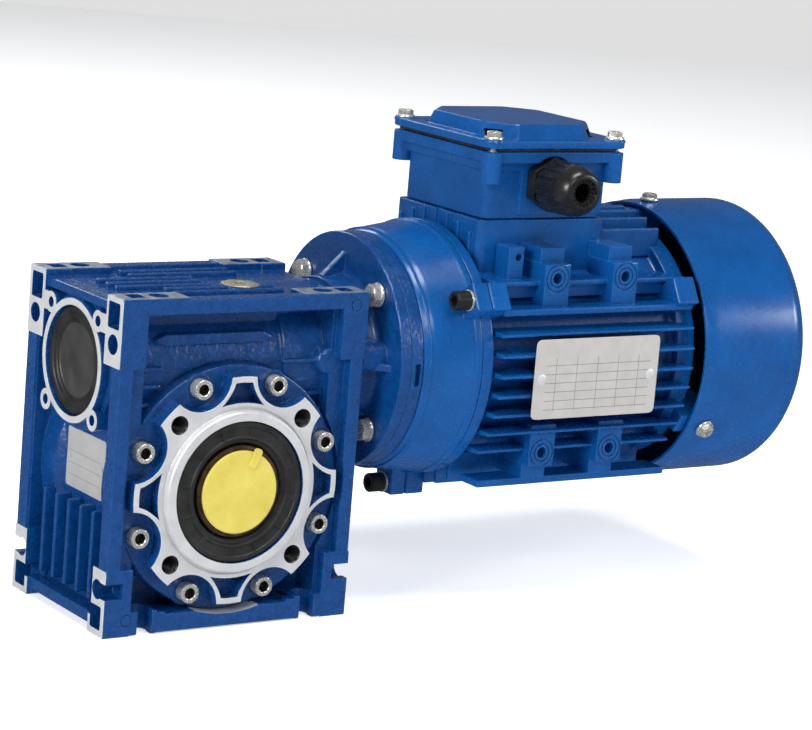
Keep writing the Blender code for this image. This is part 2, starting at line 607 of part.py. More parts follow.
def drive_end_shield():
    profile = [(80.0, 17.8), (80.0, SPIGOT_R - GAP), (SHIELD_FACE, SPIGOT_R - GAP), (SHIELD_FACE, DISC_R),
               (88.0, 54.0), (111.4, RIM_R), (111.4, 48.0), (96.0, 46.0), (96.0, 23.0), (112.0, 23.0),
               (112.0, 17.8), (100.0, 17.8), (100.0, 10.0), (83.0, 10.0), (83.0, 17.8)]
    cuts = lug_holes(100, 114, 3.3)
    for sy, sz in corner_signs():
        y, z = sy * around(45, FLANGE_BOLT_AT)[0], sz * around(45, FLANGE_BOLT_AT)[1]
        cuts.append(rod((80, y, z), (92.5, y, z), 3.4, TINY))
    part("drive_end_shield", turned("X", profile), MOTOR_PAINT, MOTOR_AXIS,
         adds=lug_blocks(103.5, 111.4), cuts=cuts)
    for k, angle in enumerate(LUG_ANGLES):
        y, z = around(angle, LUG_AT)
        socket_screw(f"shield_screw_{k + 1}", BLACK_STEEL, MOTOR_AXIS, (103.5 - GAP, y, z), FACING["-X"],
                     4.7, 8.0, 2.9, 15.0, 2.4)


def fin_height(offset, radius=FIN_R):
    return math.sqrt(radius ** 2 - offset ** 2)


def motor_frame():
    low, high = 119.0, 226.5
    profile = [(FRAME_FRONT, STATOR_R - 1), (FRAME_FRONT, RIM_R), (117.3, RIM_R), (117.3, BARREL_R),
               (222.0, BARREL_R), (222.0, 56.0), (FRAME_REAR, 56.0), (FRAME_REAR, STATOR_R - 1)]
    adds = []
    for k in range(7):
        offset = TOP_SIDE_FIN - FIN_PITCH * k
        for side in (-1, 1):
            y0, y1 = span(side * 40, side * fin_height(offset))
            adds.append(block((low, y0, offset - 1.1), (high, y1, offset + 1.1)))
    low += 0.2
    for k in range(-3, 4):
        offset = FIN_PITCH * k
        adds.append(block((low, offset - 1.1, 44), (high, offset + 1.1, fin_height(offset))))
        adds.append(block((low, offset - 1.1, -fin_height(offset)), (high, offset + 1.1, -44)))
    for side in (-1, 1):
        y0, y1 = span(side * 36, side * 57.5)
        adds.append(block((121, y0, 24.2), (FRAME_REAR - 1, y1, 26.8)))
        y0, y1 = span(side * 34, side * 49.5)
        adds.append(block((121, y0, 35.8), (FRAME_REAR - 1, y1, 38.0)))
        y0, y1 = span(side * 34, side * 48.2)
        adds.append(block((121, y0, -55.4), (FRAME_REAR - 1, y1, -52.0)))
    adds += lug_blocks(FRAME_FRONT, 121.5) + lug_blocks(216.0, FRAME_REAR - 0.2, 67.0)
    for x in PAD_XS:
        for sy, sz in corner_signs():
            y0, y1 = span(sy * 34, sy * PAD_FACE)
            z0, z1 = span(sz * 26.8, sz * 46.0)
            adds.append(block((x - 7, y0, z0), (x + 7, y1, z1)))
            y0, y1 = span(sy * 26, sy * 48.4)
            z0, z1 = span(sz * 30.0, sz * 52.6)
            adds.append(block((x - 6.8, y0, z0), (x + 6.8, y1, z1)))
    plinth_top = BOX_FLOOR - WORM_Z - GAP
    adds.append(block((BOX_LOW_X - 2.5, -BOX_HALF_Y - 1.5, 38),
                      (BOX_HIGH_X + 1.5, BOX_HALF_Y + 1.5, plinth_top)))
    adds.append(block((130.0, -44.5, 36), (138.5, -34, 52.5)))
    cuts = [barrel("X", FRAME_FRONT - 4, FRAME_REAR + 4, STATOR_R),
            rod((150, 0, 30), (150, 0, 80), 8.0, SMALL),
            rod((135.4, -50, 47.8), (135.4, -38, 47.8), 1.7, TINY)]
    cuts += lug_holes(108, 119, 3.2)
    for x in PAD_XS:
        for sy, sz in corner_signs():
            cuts.append(rod((x, sy * (PAD_FACE - 9), sz * PAD_HOLE), (x, sy * (PAD_FACE + 2), sz * PAD_HOLE),
                            2.5, TINY))
    part("motor_frame", turned("X", profile, FINE), MOTOR_PAINT, MOTOR_AXIS, adds=adds, cuts=cuts)


def motor_inside():
    stator = [(137.0, 30.3), (137.0, STATOR_R - GAP), (205.0, STATOR_R - GAP), (205.0, 30.3)]
    part("stator_core", turned("X", stator), LAMINATION, MOTOR_AXIS)
    for name, low, high in (("winding_drive_end", 120.0, 136.7), ("winding_fan_end", 205.3, 220.0)):
        section = [(low, 33.5), (high, 32.5), (high, 44.5), (low, 43.5)]
        part(name, turned("X", section, MEDIUM), COPPER, MOTOR_AXIS)
    core = [(137.0, 9.0 + GAP), (137.0, 20.0), (133.0, 20.0), (133.0, 29.5), (209.0, 29.5), (209.0, 20.0),
            (205.0, 20.0), (205.0, 9.0 + GAP)]
    part("rotor_core", turned("X", core, MEDIUM), LAMINATION, MOTOR_AXIS)
    shaft = [(54.0, 0), (54.0, SHAFT_R), (99.7, SHAFT_R), (99.7, 7.5), (112.4, 7.5), (112.4, 9.0),
             (224.6, 9.0), (224.6, 7.5), (237.0, 7.5), (237.0, 6.0), (266.0, 6.0), (266.0, 0)]
    key_slot = block((57.7, -2.7, 4.2), (78.3, 2.7, 9.0))
    part("motor_shaft", turned("X", shaft, MEDIUM), STEEL, MOTOR_AXIS, cuts=[key_slot])
    part("shaft_key", block((58.0, -2.4, 4.5), (78.0, 2.4, 9.2)), STEEL, MOTOR_AXIS)
    bearing("motor_bearing_drive_end", 100.3, 111.3, 7.8, 17.5)
    bearing("motor_bearing_fan_end", 225.0, 236.0, 7.8, 17.5)


def fan_end():
    rear = FRAME_REAR + GAP
    profile = [(224.0, 17.8), (224.0, 23.0), (rear, 26.0), (rear, 55.5), (rear + 4.0, 55.5),
               (rear + 5.0, 30.0), (240.0, 21.0), (240.0, 10.5), (236.4, 10.5), (236.4, 17.8)]
    bosses, holes = [], []
    for angle in COWL_SCREW_ANGLES:
        y, z = around(angle, 1.0)
        boss = block((rear, 44.0, -5.0), (COWL_SCREW_X + 4.5, 61.5, 5.0))
        boss.data.transform(Matrix.Rotation(math.radians(angle), 4, "X"))
        bosses.append(boss)
        holes.append(rod((COWL_SCREW_X, y * 52, z * 52), (COWL_SCREW_X, y * 64, z * 64), 2.3, TINY))
    part("fan_end_shield", turned("X", profile), MOTOR_PAINT, MOTOR_AXIS, adds=bosses, cuts=holes)
    hub = [(247.0, 0), (247.0, 13.0), (248.0, 50.0), (250.5, 50.0), (250.5, 13.0), (262.0, 13.0), (262.0, 0)]
    blades = []
    for k in range(8):
        blade = block((249.0, 10.5, -1.1), (266.0, 52.0, 1.1))
        blade.data.transform(Matrix.Rotation(2 * math.pi * k / 8, 4, "X"))
        blades.append(blade)
    part("fan", turned("X", hub, MEDIUM), BLACK_PLASTIC, MOTOR_AXIS, adds=blades,
         cuts=[barrel("X", 240, 270, 6.3, MEDIUM)])


def fan_cowl():
    skin = 1.4
    outside = [(COWL_FRONT, 64.1), (COWL_FRONT + 8, COWL_R), (285.0, COWL_R)]
    for step in range(1, 4):
        bend = math.radians(90 * step / 3)
        outside.append((285.0 + 11.0 * math.sin(bend), COWL_R - 11.0 * (1 - math.cos(bend))))
    inside = [(a - (skin if i > 2 else 0), r - skin) for i, (a, r) in enumerate(outside)]
    profile = [(outside[-1][0], 0)] + outside[::-1] + inside + [(inside[-1][0], 0)]
    cuts = []
    for k in range(SLOTS):
        slot = block((COWL_REAR - 6, 16.0, -2.2), (COWL_REAR + 4, 47.0, 2.2))
        slot.data.transform(Matrix.Rotation(2 * math.pi * k / SLOTS, 4, "X"))
        cuts.append(slot)
    for angle in COWL_SCREW_ANGLES:
        y, z = around(angle, 1.0)
        cuts.append(rod((COWL_SCREW_X, y * 60, z * 60), (COWL_SCREW_X, y * 68, z * 68), 2.4, TINY))
    part("fan_cowl", turned("X", profile), MOTOR_PAINT, MOTOR_AXIS, cuts=cuts)
    for k, angle in enumerate(COWL_SCREW_ANGLES):
        y, z = around(angle, COWL_R + GAP)
        turn = Matrix.Rotation(math.radians(angle - 90), 4, "X")
        hex_screw(f"cowl_screw_{k + 1}", STEEL, MOTOR_AXIS, (COWL_SCREW_X, y, z), turn,
                  3.6, 3.2, 1.9, 11.0, 4.6)


# ---------------------------------------------------------------- terminal box
def terminal_box():
    body = block((BOX_LOW_X, -BOX_HALF_Y, BOX_FLOOR), (BOX_HIGH_X, BOX_HALF_Y, BOX_TOP - 1))
    rim = block((BOX_LOW_X - 4.5, -BOX_HALF_Y - 6, BOX_TOP - 5.5), (BOX_HIGH_X + 5, BOX_HALF_Y + 6, BOX_TOP))
    hollow = block((BOX_LOW_X + 3, -BOX_HALF_Y + 3, BOX_FLOOR + 3), (BOX_HIGH_X - 3, BOX_HALF_Y - 3, BOX_TOP + 2))
    raised = block((BOX_LOW_X + 18, -BOX_HALF_Y - 1.2, BOX_FLOOR + 2),
                   (BOX_HIGH_X - 1, -BOX_HALF_Y + 1, BOX_TOP - 3))
    corner_posts, screw_holes = [], []
    for sx, sy in corner_signs():
        x, y = lid_screw_place(sx, sy)
        corner_posts.append(rod((x, y, BOX_TOP - 14), (x, y, BOX_TOP - 0.5), 4.2, TINY))
        screw_holes.append(rod((x, y, BOX_TOP - 12), (x, y, BOX_TOP + 2), M4_HOLE_R, TINY))
    gland_at = (GLAND_X, 0, GLAND_Z)
    cuts = [barrel("Y", -BOX_HALF_Y - 4, -BOX_HALF_Y + 6, 9.0, MEDIUM, gland_at),
            barrel("Y", -BOX_HALF_Y - 8, -BOX_HALF_Y - 1.2, 12.9, MEDIUM, gland_at),
            rod((150, 0, BOX_FLOOR - 2), (150, 0, BOX_FLOOR + 5), 8.0, SMALL)]
    part("terminal_box", body, MOTOR_PAINT, adds=[rim, raised] + corner_posts,
         cuts=[hollow] + cuts + screw_holes)

    gasket_low, gasket_high = BOX_TOP + GAP, BOX_TOP + 1.2
    gasket = block((LID_LOW_X + 2, -LID_HALF_Y + 2.5, gasket_low), (LID_HIGH_X - 2, LID_HALF_Y - 2.5, gasket_high))
    opening = block((BOX_LOW_X + 3, -BOX_HALF_Y + 3, gasket_low - 2),
                    (BOX_HIGH_X - 3, BOX_HALF_Y - 3, gasket_high + 2))
    part("terminal_box_gasket", gasket, RUBBER, cuts=[opening] + lid_screw_holes(gasket_low - 2, gasket_high + 2))

    lid_low = gasket_high + GAP
    lid = block((LID_LOW_X, -LID_HALF_Y, lid_low), (LID_HIGH_X, LID_HALF_Y, LID_FLANGE))
    inset = 9.0
    plateau = plate("Z", chamfered(LID_LOW_X + inset, LID_HIGH_X - inset, LID_HALF_Y - inset, 12.0),
                    LID_FLANGE - 1, LID_TOP)
    under = block((BOX_LOW_X + 4, -BOX_HALF_Y + 5, lid_low - 2), (BOX_HIGH_X - 4, BOX_HALF_Y - 5, LID_TOP - 3))
    holes = lid_screw_holes(lid_low - 2, LID_FLANGE + 2)
    part("terminal_box_lid", lid, MOTOR_PAINT, adds=[plateau], cuts=[under] + holes)
    for k, (sx, sy) in enumerate(corner_signs()):
        x, y = lid_screw_place(sx, sy)
        hex_screw(f"lid_screw_{k + 1}", STEEL, ROOT, (x, y, LID_FLANGE + GAP), FACING["+Z"],
                  3.5, 3.4, 1.9, 15.0, 4.4)

    base = block((138, -13, BOX_FLOOR + 3 + GAP), (178, 13, BOX_FLOOR + 10))
    studs = [rod((146 + 12 * i, y, BOX_FLOOR + 8), (146 + 12 * i, y, BOX_FLOOR + 18), 2.0, 6)
             for i in range(3) for y in (-8, 8)]
    nuts = [rod((146 + 12 * i, y, BOX_FLOOR + 9), (146 + 12 * i, y, BOX_FLOOR + 13), 3.8, 6)
            for i in range(3) for y in (-8, 8)]
    part("terminal_block", base, BLACK_PLASTIC, adds=studs + nuts,
         cuts=[rod((150, 0, BOX_FLOOR), (150, 0, BOX_FLOOR + 20), 6.0, SMALL)])


def lid_screw_place(sx, sy):
    middle = (LID_LOW_X + LID_HIGH_X) / 2
    half = (LID_HIGH_X - LID_LOW_X) / 2 - 5.0
    return middle + sx * half, sy * (LID_HALF_Y - 5.0)


def lid_screw_holes(low, high):
    places = [lid_screw_place(sx, sy) for sx, sy in corner_signs()]
    return [rod((x, y, low), (x, y, high), M4_HOLE_R, TINY) for x, y in places]


def chamfered(low_x, high_x, half_y, chamfer):
    return [(low_x + chamfer, -half_y), (high_x - chamfer, -half_y), (high_x, -half_y + chamfer),
            (high_x, half_y - chamfer), (high_x - chamfer, half_y), (low_x + chamfer, half_y),
            (low_x, half_y - chamfer), (low_x, -half_y + chamfer)]


def cable_gland():
    wall, nut_back = -BOX_HALF_Y - 1.2 - GAP, -40.0
    body = [(-27.0, 6.0), (-27.0, 8.6), (wall, 8.6), (wall, 12.5), (wall - 5.5, 12.5), (wall - 5.5, 8.0),
            (-58.0, 8.0), (-58.0, 6.0)]
    centre = (GLAND_X, 0, GLAND_Z)
    part("gland_body", turned("Y", body, MEDIUM, centre), BLACK_PLASTIC)
    nut = [(nut_back, 8.0 + GAP), (nut_back, 11.8), (-52.0, 11.8), (-GLAND_END, 9.0), (-GLAND_END, 5.2),
           (-58.0 - GAP, 5.2), (-58.0 - GAP, 8.0 + GAP)]
    part("gland_nut", turned("Y", nut, MEDIUM, centre), BLACK_PLASTIC)


def plates_and_plugs():
    x, y, seat = OIL_X, OIL_Y, OIL_SEAT
    hexagon = rod((x, y, seat), (x, y, seat + 0.6), 8.6, 6)
    part("oil_plug", turned("Z", [(-10.0, 0), (-10.0, 5.8), (0, 5.8), (0, 8.0), (0.4, 8.0), (0.4, 0)], SMALL,
                            (x, y, seat)), STEEL, adds=[hexagon])
    part("gearbox_nameplate", block((-WEB_X - 1.3, -17, 52), (-WEB_X - GAP, 17, 78)), LABEL)
    part("motor_nameplate", block((135.5, -FIN_R - 1.2, 88.5), (204.5, -FIN_R - 0.4, 124.5)), LABEL)


housing()
output_side()
worm_side()
input_flange()
drive_end_shield()
motor_frame()
motor_inside()
fan_end()
fan_cowl()
terminal_box()
cable_gland()
plates_and_plugs()
add_booleans()
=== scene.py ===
# Looks for the worm gearmotor. Shapes are drawn in millimetres about the output axis: X runs along
# the worm and the motor, Y along the output shaft, Z up from the feet. place() moves them to metres.
import json
import math

import bmesh
import bpy
import numpy as np
from mathutils import Matrix, Vector

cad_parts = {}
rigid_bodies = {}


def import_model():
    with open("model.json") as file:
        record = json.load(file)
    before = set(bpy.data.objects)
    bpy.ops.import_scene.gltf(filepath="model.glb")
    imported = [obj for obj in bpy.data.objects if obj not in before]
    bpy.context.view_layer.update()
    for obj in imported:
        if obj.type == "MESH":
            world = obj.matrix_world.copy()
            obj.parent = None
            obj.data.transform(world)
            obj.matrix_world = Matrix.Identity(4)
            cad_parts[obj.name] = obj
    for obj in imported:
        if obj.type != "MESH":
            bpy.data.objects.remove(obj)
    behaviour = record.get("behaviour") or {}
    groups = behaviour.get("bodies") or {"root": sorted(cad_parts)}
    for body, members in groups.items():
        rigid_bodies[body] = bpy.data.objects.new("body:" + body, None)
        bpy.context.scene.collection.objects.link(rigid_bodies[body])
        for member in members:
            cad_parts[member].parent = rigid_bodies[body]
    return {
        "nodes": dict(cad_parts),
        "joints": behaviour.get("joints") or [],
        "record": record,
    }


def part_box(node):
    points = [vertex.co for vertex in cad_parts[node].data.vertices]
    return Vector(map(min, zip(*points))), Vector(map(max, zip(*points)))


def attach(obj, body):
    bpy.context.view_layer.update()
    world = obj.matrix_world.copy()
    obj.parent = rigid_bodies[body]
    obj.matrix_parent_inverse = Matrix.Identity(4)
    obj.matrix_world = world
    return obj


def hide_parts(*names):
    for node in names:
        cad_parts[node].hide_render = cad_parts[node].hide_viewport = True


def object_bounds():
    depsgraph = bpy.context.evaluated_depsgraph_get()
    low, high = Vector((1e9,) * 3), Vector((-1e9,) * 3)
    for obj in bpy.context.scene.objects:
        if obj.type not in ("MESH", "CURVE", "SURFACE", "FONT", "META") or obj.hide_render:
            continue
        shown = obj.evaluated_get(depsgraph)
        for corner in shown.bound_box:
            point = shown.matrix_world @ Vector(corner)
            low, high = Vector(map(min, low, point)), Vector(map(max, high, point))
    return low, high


MM = 0.001
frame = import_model()
cad_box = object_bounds()
JOINTS = {joint["name"]: joint for joint in frame["joints"]}
SHIFT = JOINTS["output_spin"]["pos_m"][0] / MM
OUTPUT_Z = JOINTS["output_spin"]["pos_m"][2] / MM
WORM_Z = JOINTS["motor_spin"]["pos_m"][2] / MM
GAP = 0.3
FINE, MEDIUM, SMALL = 96, 64, 32


def limits(node):
    """The lowest and highest corner of a CAD node, in drawing millimetres."""
    low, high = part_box(node)
    shift = Vector((SHIFT, 0, 0))
    return low / MM - shift, high / MM - shift


CASE_LOW, CASE_HIGH = limits("gearbox_housing")
HALF_LENGTH, HALF_WIDTH, HEIGHT = CASE_HIGH.x, -CASE_LOW.y, CASE_HIGH.z
PILOT_FACE = CASE_HIGH.y
FLANGE_FACE = PILOT_FACE - 3
COVER_HIGH = limits("output_cover")[1]
COVER_R, BEARING_BACK = COVER_HIGH.x, -COVER_HIGH.y
COVER_SEAT, COVER_FACE = 29.0, 35.5
HUB_END = limits("output_shaft")[1].y
SEAL_R = limits("output_seal_front")[1].x + GAP
STAR_R, SCALLOP_R, SCALLOP_AT, PILOT_R = 49.7, 14.4, 53.7, 35.0
SCREW_AT, TAPPED_AT = 47.75, 42.5
WORM_BEARING_R = 23.5
FOOT_X, FOOT_Y, FOOT_R = 40.0, 35.0, 4.25
SIDE_LOW, SIDE_HIGH = 20.0, 124.0
EAR_AT, FRAME_BAR, WEB_X = 21.1, 7.0, 50.0

FLANGE_LOW, FLANGE_HIGH = limits("input_flange")
DISC_FACE, DISC_R = FLANGE_HIGH.x, FLANGE_HIGH.y
DISC_BACK = DISC_FACE - 11.4
FLANGE_BOLT_AT = 42.5
FRAME_LOW, FRAME_HIGH = limits("motor_frame")
FRAME_FRONT, FRAME_REAR = FRAME_LOW.x, FRAME_HIGH.x
SHIELD_FACE, RIM_R, BARREL_R, STATOR_R, FIN_R = 84.0, 57.7, 51.5, 47.5, 63.0
LUG_AT, LUG_ANGLES = 63.0, (30, 150, 270)
TOP_SIDE_FIN, FIN_PITCH = 16.0, 9.1
PAD_XS, PAD_FACE, PAD_HOLE = (151.3, 189.4), 53.5, 39.6
COWL_LOW, COWL_HIGH = limits("fan_cowl")
COWL_FRONT, COWL_REAR, COWL_R = COWL_LOW.x, COWL_HIGH.x, COWL_HIGH.y
COWL_ANGLES, COWL_SCREW_X = (90, 210, 330), 242.0
BOX_LOW, BOX_HIGH = limits("terminal_box")
BOX_X, BOX_HALF_Y, BOX_TOP = (BOX_LOW.x + 4.5, BOX_HIGH.x - 5), 32.0, BOX_HIGH.z
BOX_FLOOR = BOX_LOW.z
LID_LOW, LID_HIGH = limits("terminal_box_lid")
LID_FLANGE = LID_HIGH.z - 6.0
GLAND_LOW, GLAND_HIGH = limits("gland_nut")
GLAND_X, GLAND_Z = (GLAND_LOW.x + GLAND_HIGH.x) / 2, (GLAND_LOW.z + GLAND_HIGH.z) / 2
GLAND_END = -GLAND_LOW.y
OUTPUT_AT, WORM_AT = (0, 0, OUTPUT_Z), (0, 0, WORM_Z)
PLUG_LOW, PLUG_HIGH = limits("oil_plug")
OIL_AT = ((PLUG_LOW.x + PLUG_HIGH.x) / 2, (PLUG_LOW.y + PLUG_HIGH.y) / 2, PLUG_HIGH.z - 0.6)


# ---------------------------------------------------------------- materials
def node_material(name):
    material = bpy.data.materials.new(name)
    material.use_nodes = True
    nodes, links = material.node_tree.nodes, material.node_tree.links
    return material, nodes, links, nodes["Principled BSDF"]


def add_node(nodes, kind, **values):
    node = nodes.new(kind)
    for key, value in values.items():
        if key in node.inputs:
            node.inputs[key].default_value = value
        else:
            setattr(node, key, value)
    return node


def ramp(nodes, stops):
    node = nodes.new("ShaderNodeValToRGB")
    elements = node.color_ramp.elements
    while len(elements) < len(stops):
        elements.new(0.5)
    for element, (position, colour) in zip(elements, stops):
        element.position = position
        element.color = (*colour, 1)
    return node


def grey(value):
    return (value, value, value)


def surface(name, dark, light, rough, metallic=0.0, grain=900.0, grain_depth=0.05, lumps=60.0,
            lump_depth=0.0, edge=0.0006, painted_edge_highlight=0.0, edge_highlight_colour=(1, 1, 1), coat=0.0, specular=0.5,
            stretch=(1, 1, 1)):
    """A material with mottled colour, mottled gloss, fine and coarse relief, soft edges, and, where asked,
    a painted highlight: a lighter colour mixed in along sharp edges.
    """
    material, nodes, links, shader = node_material(name)
    place = nodes.new("ShaderNodeTexCoord")
    mapping = add_node(nodes, "ShaderNodeMapping", Scale=stretch)
    links.new(place.outputs["Object"], mapping.inputs["Vector"])
    at = mapping.outputs["Vector"]
    mottle = add_node(nodes, "ShaderNodeTexNoise", Scale=lumps, Detail=4.0, Roughness=0.6)
    fine = add_node(nodes, "ShaderNodeTexNoise", Scale=grain, Detail=3.0, Roughness=0.55)
    for noise in (mottle, fine):
        links.new(at, noise.inputs["Vector"])
    colours = ramp(nodes, ((0.35, dark), (0.68, light)))
    links.new(mottle.outputs["Fac"], colours.inputs["Fac"])
    colour_out = colours.outputs["Color"]
    soft = add_node(nodes, "ShaderNodeBevel", Radius=edge, samples=4)
    # Painted highlight: at sharp edges, where the bevel normal turns away from the face normal, the colour
    # is mixed towards the lighter edge colour.
    if painted_edge_highlight:
        facing = nodes.new("ShaderNodeNewGeometry")
        agree = add_node(nodes, "ShaderNodeVectorMath", operation="DOT_PRODUCT")
        links.new(soft.outputs["Normal"], agree.inputs[0])
        links.new(facing.outputs["Normal"], agree.inputs[1])
        painted_highlight_mask = add_node(nodes, "ShaderNodeMapRange", clamp=True)
        painted_highlight_mask.inputs["From Min"].default_value = 0.96
        painted_highlight_mask.inputs["From Max"].default_value = 0.80
        painted_highlight_mask.inputs["To Max"].default_value = painted_edge_highlight
        links.new(agree.outputs["Value"], painted_highlight_mask.inputs["Value"])
        blend = add_node(nodes, "ShaderNodeMix", data_type="RGBA")
        links.new(painted_highlight_mask.outputs["Result"], blend.inputs[0])
        links.new(colour_out, blend.inputs[6])
        blend.inputs[7].default_value = (*edge_highlight_colour, 1)
        colour_out = blend.outputs[2]
    links.new(colour_out, shader.inputs["Base Color"])
    gloss = ramp(nodes, ((0.3, grey(rough * 0.8)), (0.7, grey(min(1.0, rough * 1.25)))))
    links.new(fine.outputs["Fac"], gloss.inputs["Fac"])
    links.new(gloss.outputs["Color"], shader.inputs["Roughness"])
    shader.inputs["Metallic"].default_value = metallic
    shader.inputs["Specular IOR Level"].default_value = specular
    shader.inputs["Coat Weight"].default_value = coat
    shader.inputs["Coat Roughness"].default_value = 0.12
    relief = add_node(nodes, "ShaderNodeBump", Strength=1.0, Distance=grain_depth * MM)
    links.new(fine.outputs["Fac"], relief.inputs["Height"])
    links.new(soft.outputs["Normal"], relief.inputs["Normal"])
    last = relief
    if lump_depth:
        swell = add_node(nodes, "ShaderNodeBump", Strength=1.0, Distance=lump_depth * MM)
        links.new(mottle.outputs["Fac"], swell.inputs["Height"])
        links.new(relief.outputs["Normal"], swell.inputs["Normal"])
        last = swell
    links.new(last.outputs["Normal"], shader.inputs["Normal"])
    return material


def printed_plate(name, low, high, rows, columns, base):
    """A plate with printed rules, made from its own coordinates: low and high are its corners in metres."""
    material, nodes, links, shader = node_material(name)
    place = nodes.new("ShaderNodeTexCoord")
    split = nodes.new("ShaderNodeSeparateXYZ")
    links.new(place.outputs["Object"], split.inputs["Vector"])
    along, axis = (high.x - low.x, "X") if high.x - low.x > high.y - low.y else (high.y - low.y, "Y")
    start = low.x if axis == "X" else low.y

    def line_mask(source, origin, span, count, width):
        scaled = add_node(nodes, "ShaderNodeMath", operation="MULTIPLY_ADD")
        scaled.inputs[1].default_value = count / span
        scaled.inputs[2].default_value = -origin * count / span
        links.new(source, scaled.inputs[0])
        part = add_node(nodes, "ShaderNodeMath", operation="FRACT")
        links.new(scaled.outputs[0], part.inputs[0])
        mask = add_node(nodes, "ShaderNodeMath", operation="LESS_THAN")
        mask.inputs[1].default_value = width * count / span
        links.new(part.outputs[0], mask.inputs[0])
        return mask.outputs[0]

    height = high.z - low.z
    rules = line_mask(split.outputs["Z"], low.z, height, rows, 0.00028)
    posts = line_mask(split.outputs[axis], start, along, columns, 0.00028)
    either = add_node(nodes, "ShaderNodeMath", operation="MAXIMUM")
    links.new(rules, either.inputs[0])
    links.new(posts, either.inputs[1])
    inside = None
    for source, first, last in ((split.outputs["Z"], low.z + height * 0.10, high.z - height * 0.24),
                                (split.outputs[axis], start + along * 0.09, start + along * 0.93)):
        for bound, sense in ((first, "GREATER_THAN"), (last, "LESS_THAN")):
            gate = add_node(nodes, "ShaderNodeMath", operation=sense)
            gate.inputs[1].default_value = bound
            links.new(source, gate.inputs[0])
            if inside is None:
                inside = gate.outputs[0]
            else:
                both = add_node(nodes, "ShaderNodeMath", operation="MULTIPLY")
                links.new(inside, both.inputs[0])
                links.new(gate.outputs[0], both.inputs[1])
                inside = both.outputs[0]
    ink = add_node(nodes, "ShaderNodeMath", operation="MULTIPLY")
    links.new(either.outputs[0], ink.inputs[0])
    links.new(inside, ink.inputs[1])
    smudge = add_node(nodes, "ShaderNodeTexNoise", Scale=140.0, Detail=4.0)
    links.new(place.outputs["Object"], smudge.inputs["Vector"])
    tone = ramp(nodes, ((0.35, [c * 0.9 for c in base]), (0.7, base)))
    links.new(smudge.outputs["Fac"], tone.inputs["Fac"])
    blend = add_node(nodes, "ShaderNodeMix", data_type="RGBA")
    links.new(ink.outputs[0], blend.inputs[0])
    links.new(tone.outputs["Color"], blend.inputs[6])
    blend.inputs[7].default_value = (0.22, 0.21, 0.22, 1)
    links.new(blend.outputs[2], shader.inputs["Base Color"])
    shader.inputs["Roughness"].default_value = 0.32
    shader.inputs["Metallic"].default_value = 0.25
    return material


# Both blue paints get a painted highlight along sharp edges, mixed towards the lighter blue given with
# them.
CAST_PAINT = surface("cast_blue_paint", (0.001, 0.040, 0.165), (0.002, 0.056, 0.23), 0.26, grain=620.0,
                     grain_depth=0.14, lumps=260.0, lump_depth=0.55, painted_edge_highlight=0.5,
                     edge_highlight_colour=(0.02, 0.15, 0.44),
                     coat=0.35, specular=0.45)
SMOOTH_PAINT = surface("smooth_blue_paint", (0.002, 0.064, 0.245), (0.003, 0.084, 0.31), 0.24, grain=520.0,
                       grain_depth=0.012, lumps=60.0, lump_depth=0.12, painted_edge_highlight=0.5,
                       edge_highlight_colour=(0.03, 0.22, 0.58), coat=0.2, specular=0.35)
MACHINED = surface("machined_aluminium", (0.70, 0.71, 0.73), (0.82, 0.83, 0.85), 0.34, 0.45, grain=1500.0,
                   grain_depth=0.012, lumps=90.0, edge=0.0003)
WORN_PAD = surface("worn_pad", (0.16, 0.20, 0.28), (0.42, 0.44, 0.48), 0.40, 0.6, grain=1200.0,
                   grain_depth=0.03, lumps=220.0, edge=0.0003)
STEEL = surface("zinc_steel", (0.62, 0.61, 0.56), (0.82, 0.81, 0.75), 0.26, 0.7, grain=1400.0,
                grain_depth=0.03, lumps=260.0, edge=0.0003)
PLUG_STEEL = surface("plug_steel", (0.46, 0.42, 0.32), (0.70, 0.65, 0.52), 0.30, 0.7, grain=1400.0,
                     grain_depth=0.03, lumps=260.0, edge=0.0003)
# Black oxide steel for the black parts; the same material also paints shade black inside the tapped holes
# and the screw sockets.
BLACK_STEEL_AND_SHADE = surface("black_oxide_steel_and_painted_shade", (0.012, 0.012, 0.013), (0.030, 0.030, 0.032), 0.36, 0.4,
                      grain=1500.0, grain_depth=0.03, lumps=300.0, edge=0.0003)
RUBBER = surface("nitrile_rubber", (0.012, 0.012, 0.012), (0.026, 0.026, 0.025), 0.50, grain=1800.0,
                 grain_depth=0.03, lumps=120.0, edge=0.0003)
DARK_CAP = surface("cap_rubber", (0.030, 0.030, 0.031), (0.052, 0.051, 0.052), 0.42, grain=1600.0,
                   grain_depth=0.04, lumps=90.0, edge=0.0003)
PLASTIC = surface("yellow_moulding", (0.56, 0.46, 0.065), (0.66, 0.55, 0.10), 0.42, grain=700.0,
                  grain_depth=0.02, lumps=70.0, lump_depth=0.15, edge=0.0004)
BLACK_PLASTIC = surface("black_nylon", (0.008, 0.008, 0.009), (0.018, 0.018, 0.019), 0.28, grain=1300.0,
                        grain_depth=0.02, lumps=120.0, edge=0.0004)
HUB_IRON = surface("hub_iron", (0.055, 0.035, 0.022), (0.16, 0.12, 0.09), 0.50, 0.8, grain=1200.0,
                   grain_depth=0.05, lumps=240.0, edge=0.0003)
BRONZE = surface("tin_bronze", (0.40, 0.24, 0.09), (0.60, 0.40, 0.17), 0.32, 1.0, grain=1400.0,
                 grain_depth=0.02, lumps=200.0, edge=0.0003)
COPPER = surface("varnished_copper", (0.38, 0.12, 0.04), (0.62, 0.24, 0.09), 0.34, 1.0, grain=700.0,
                 grain_depth=0.25, lumps=200.0, edge=0.0003, stretch=(0.15, 1, 1))
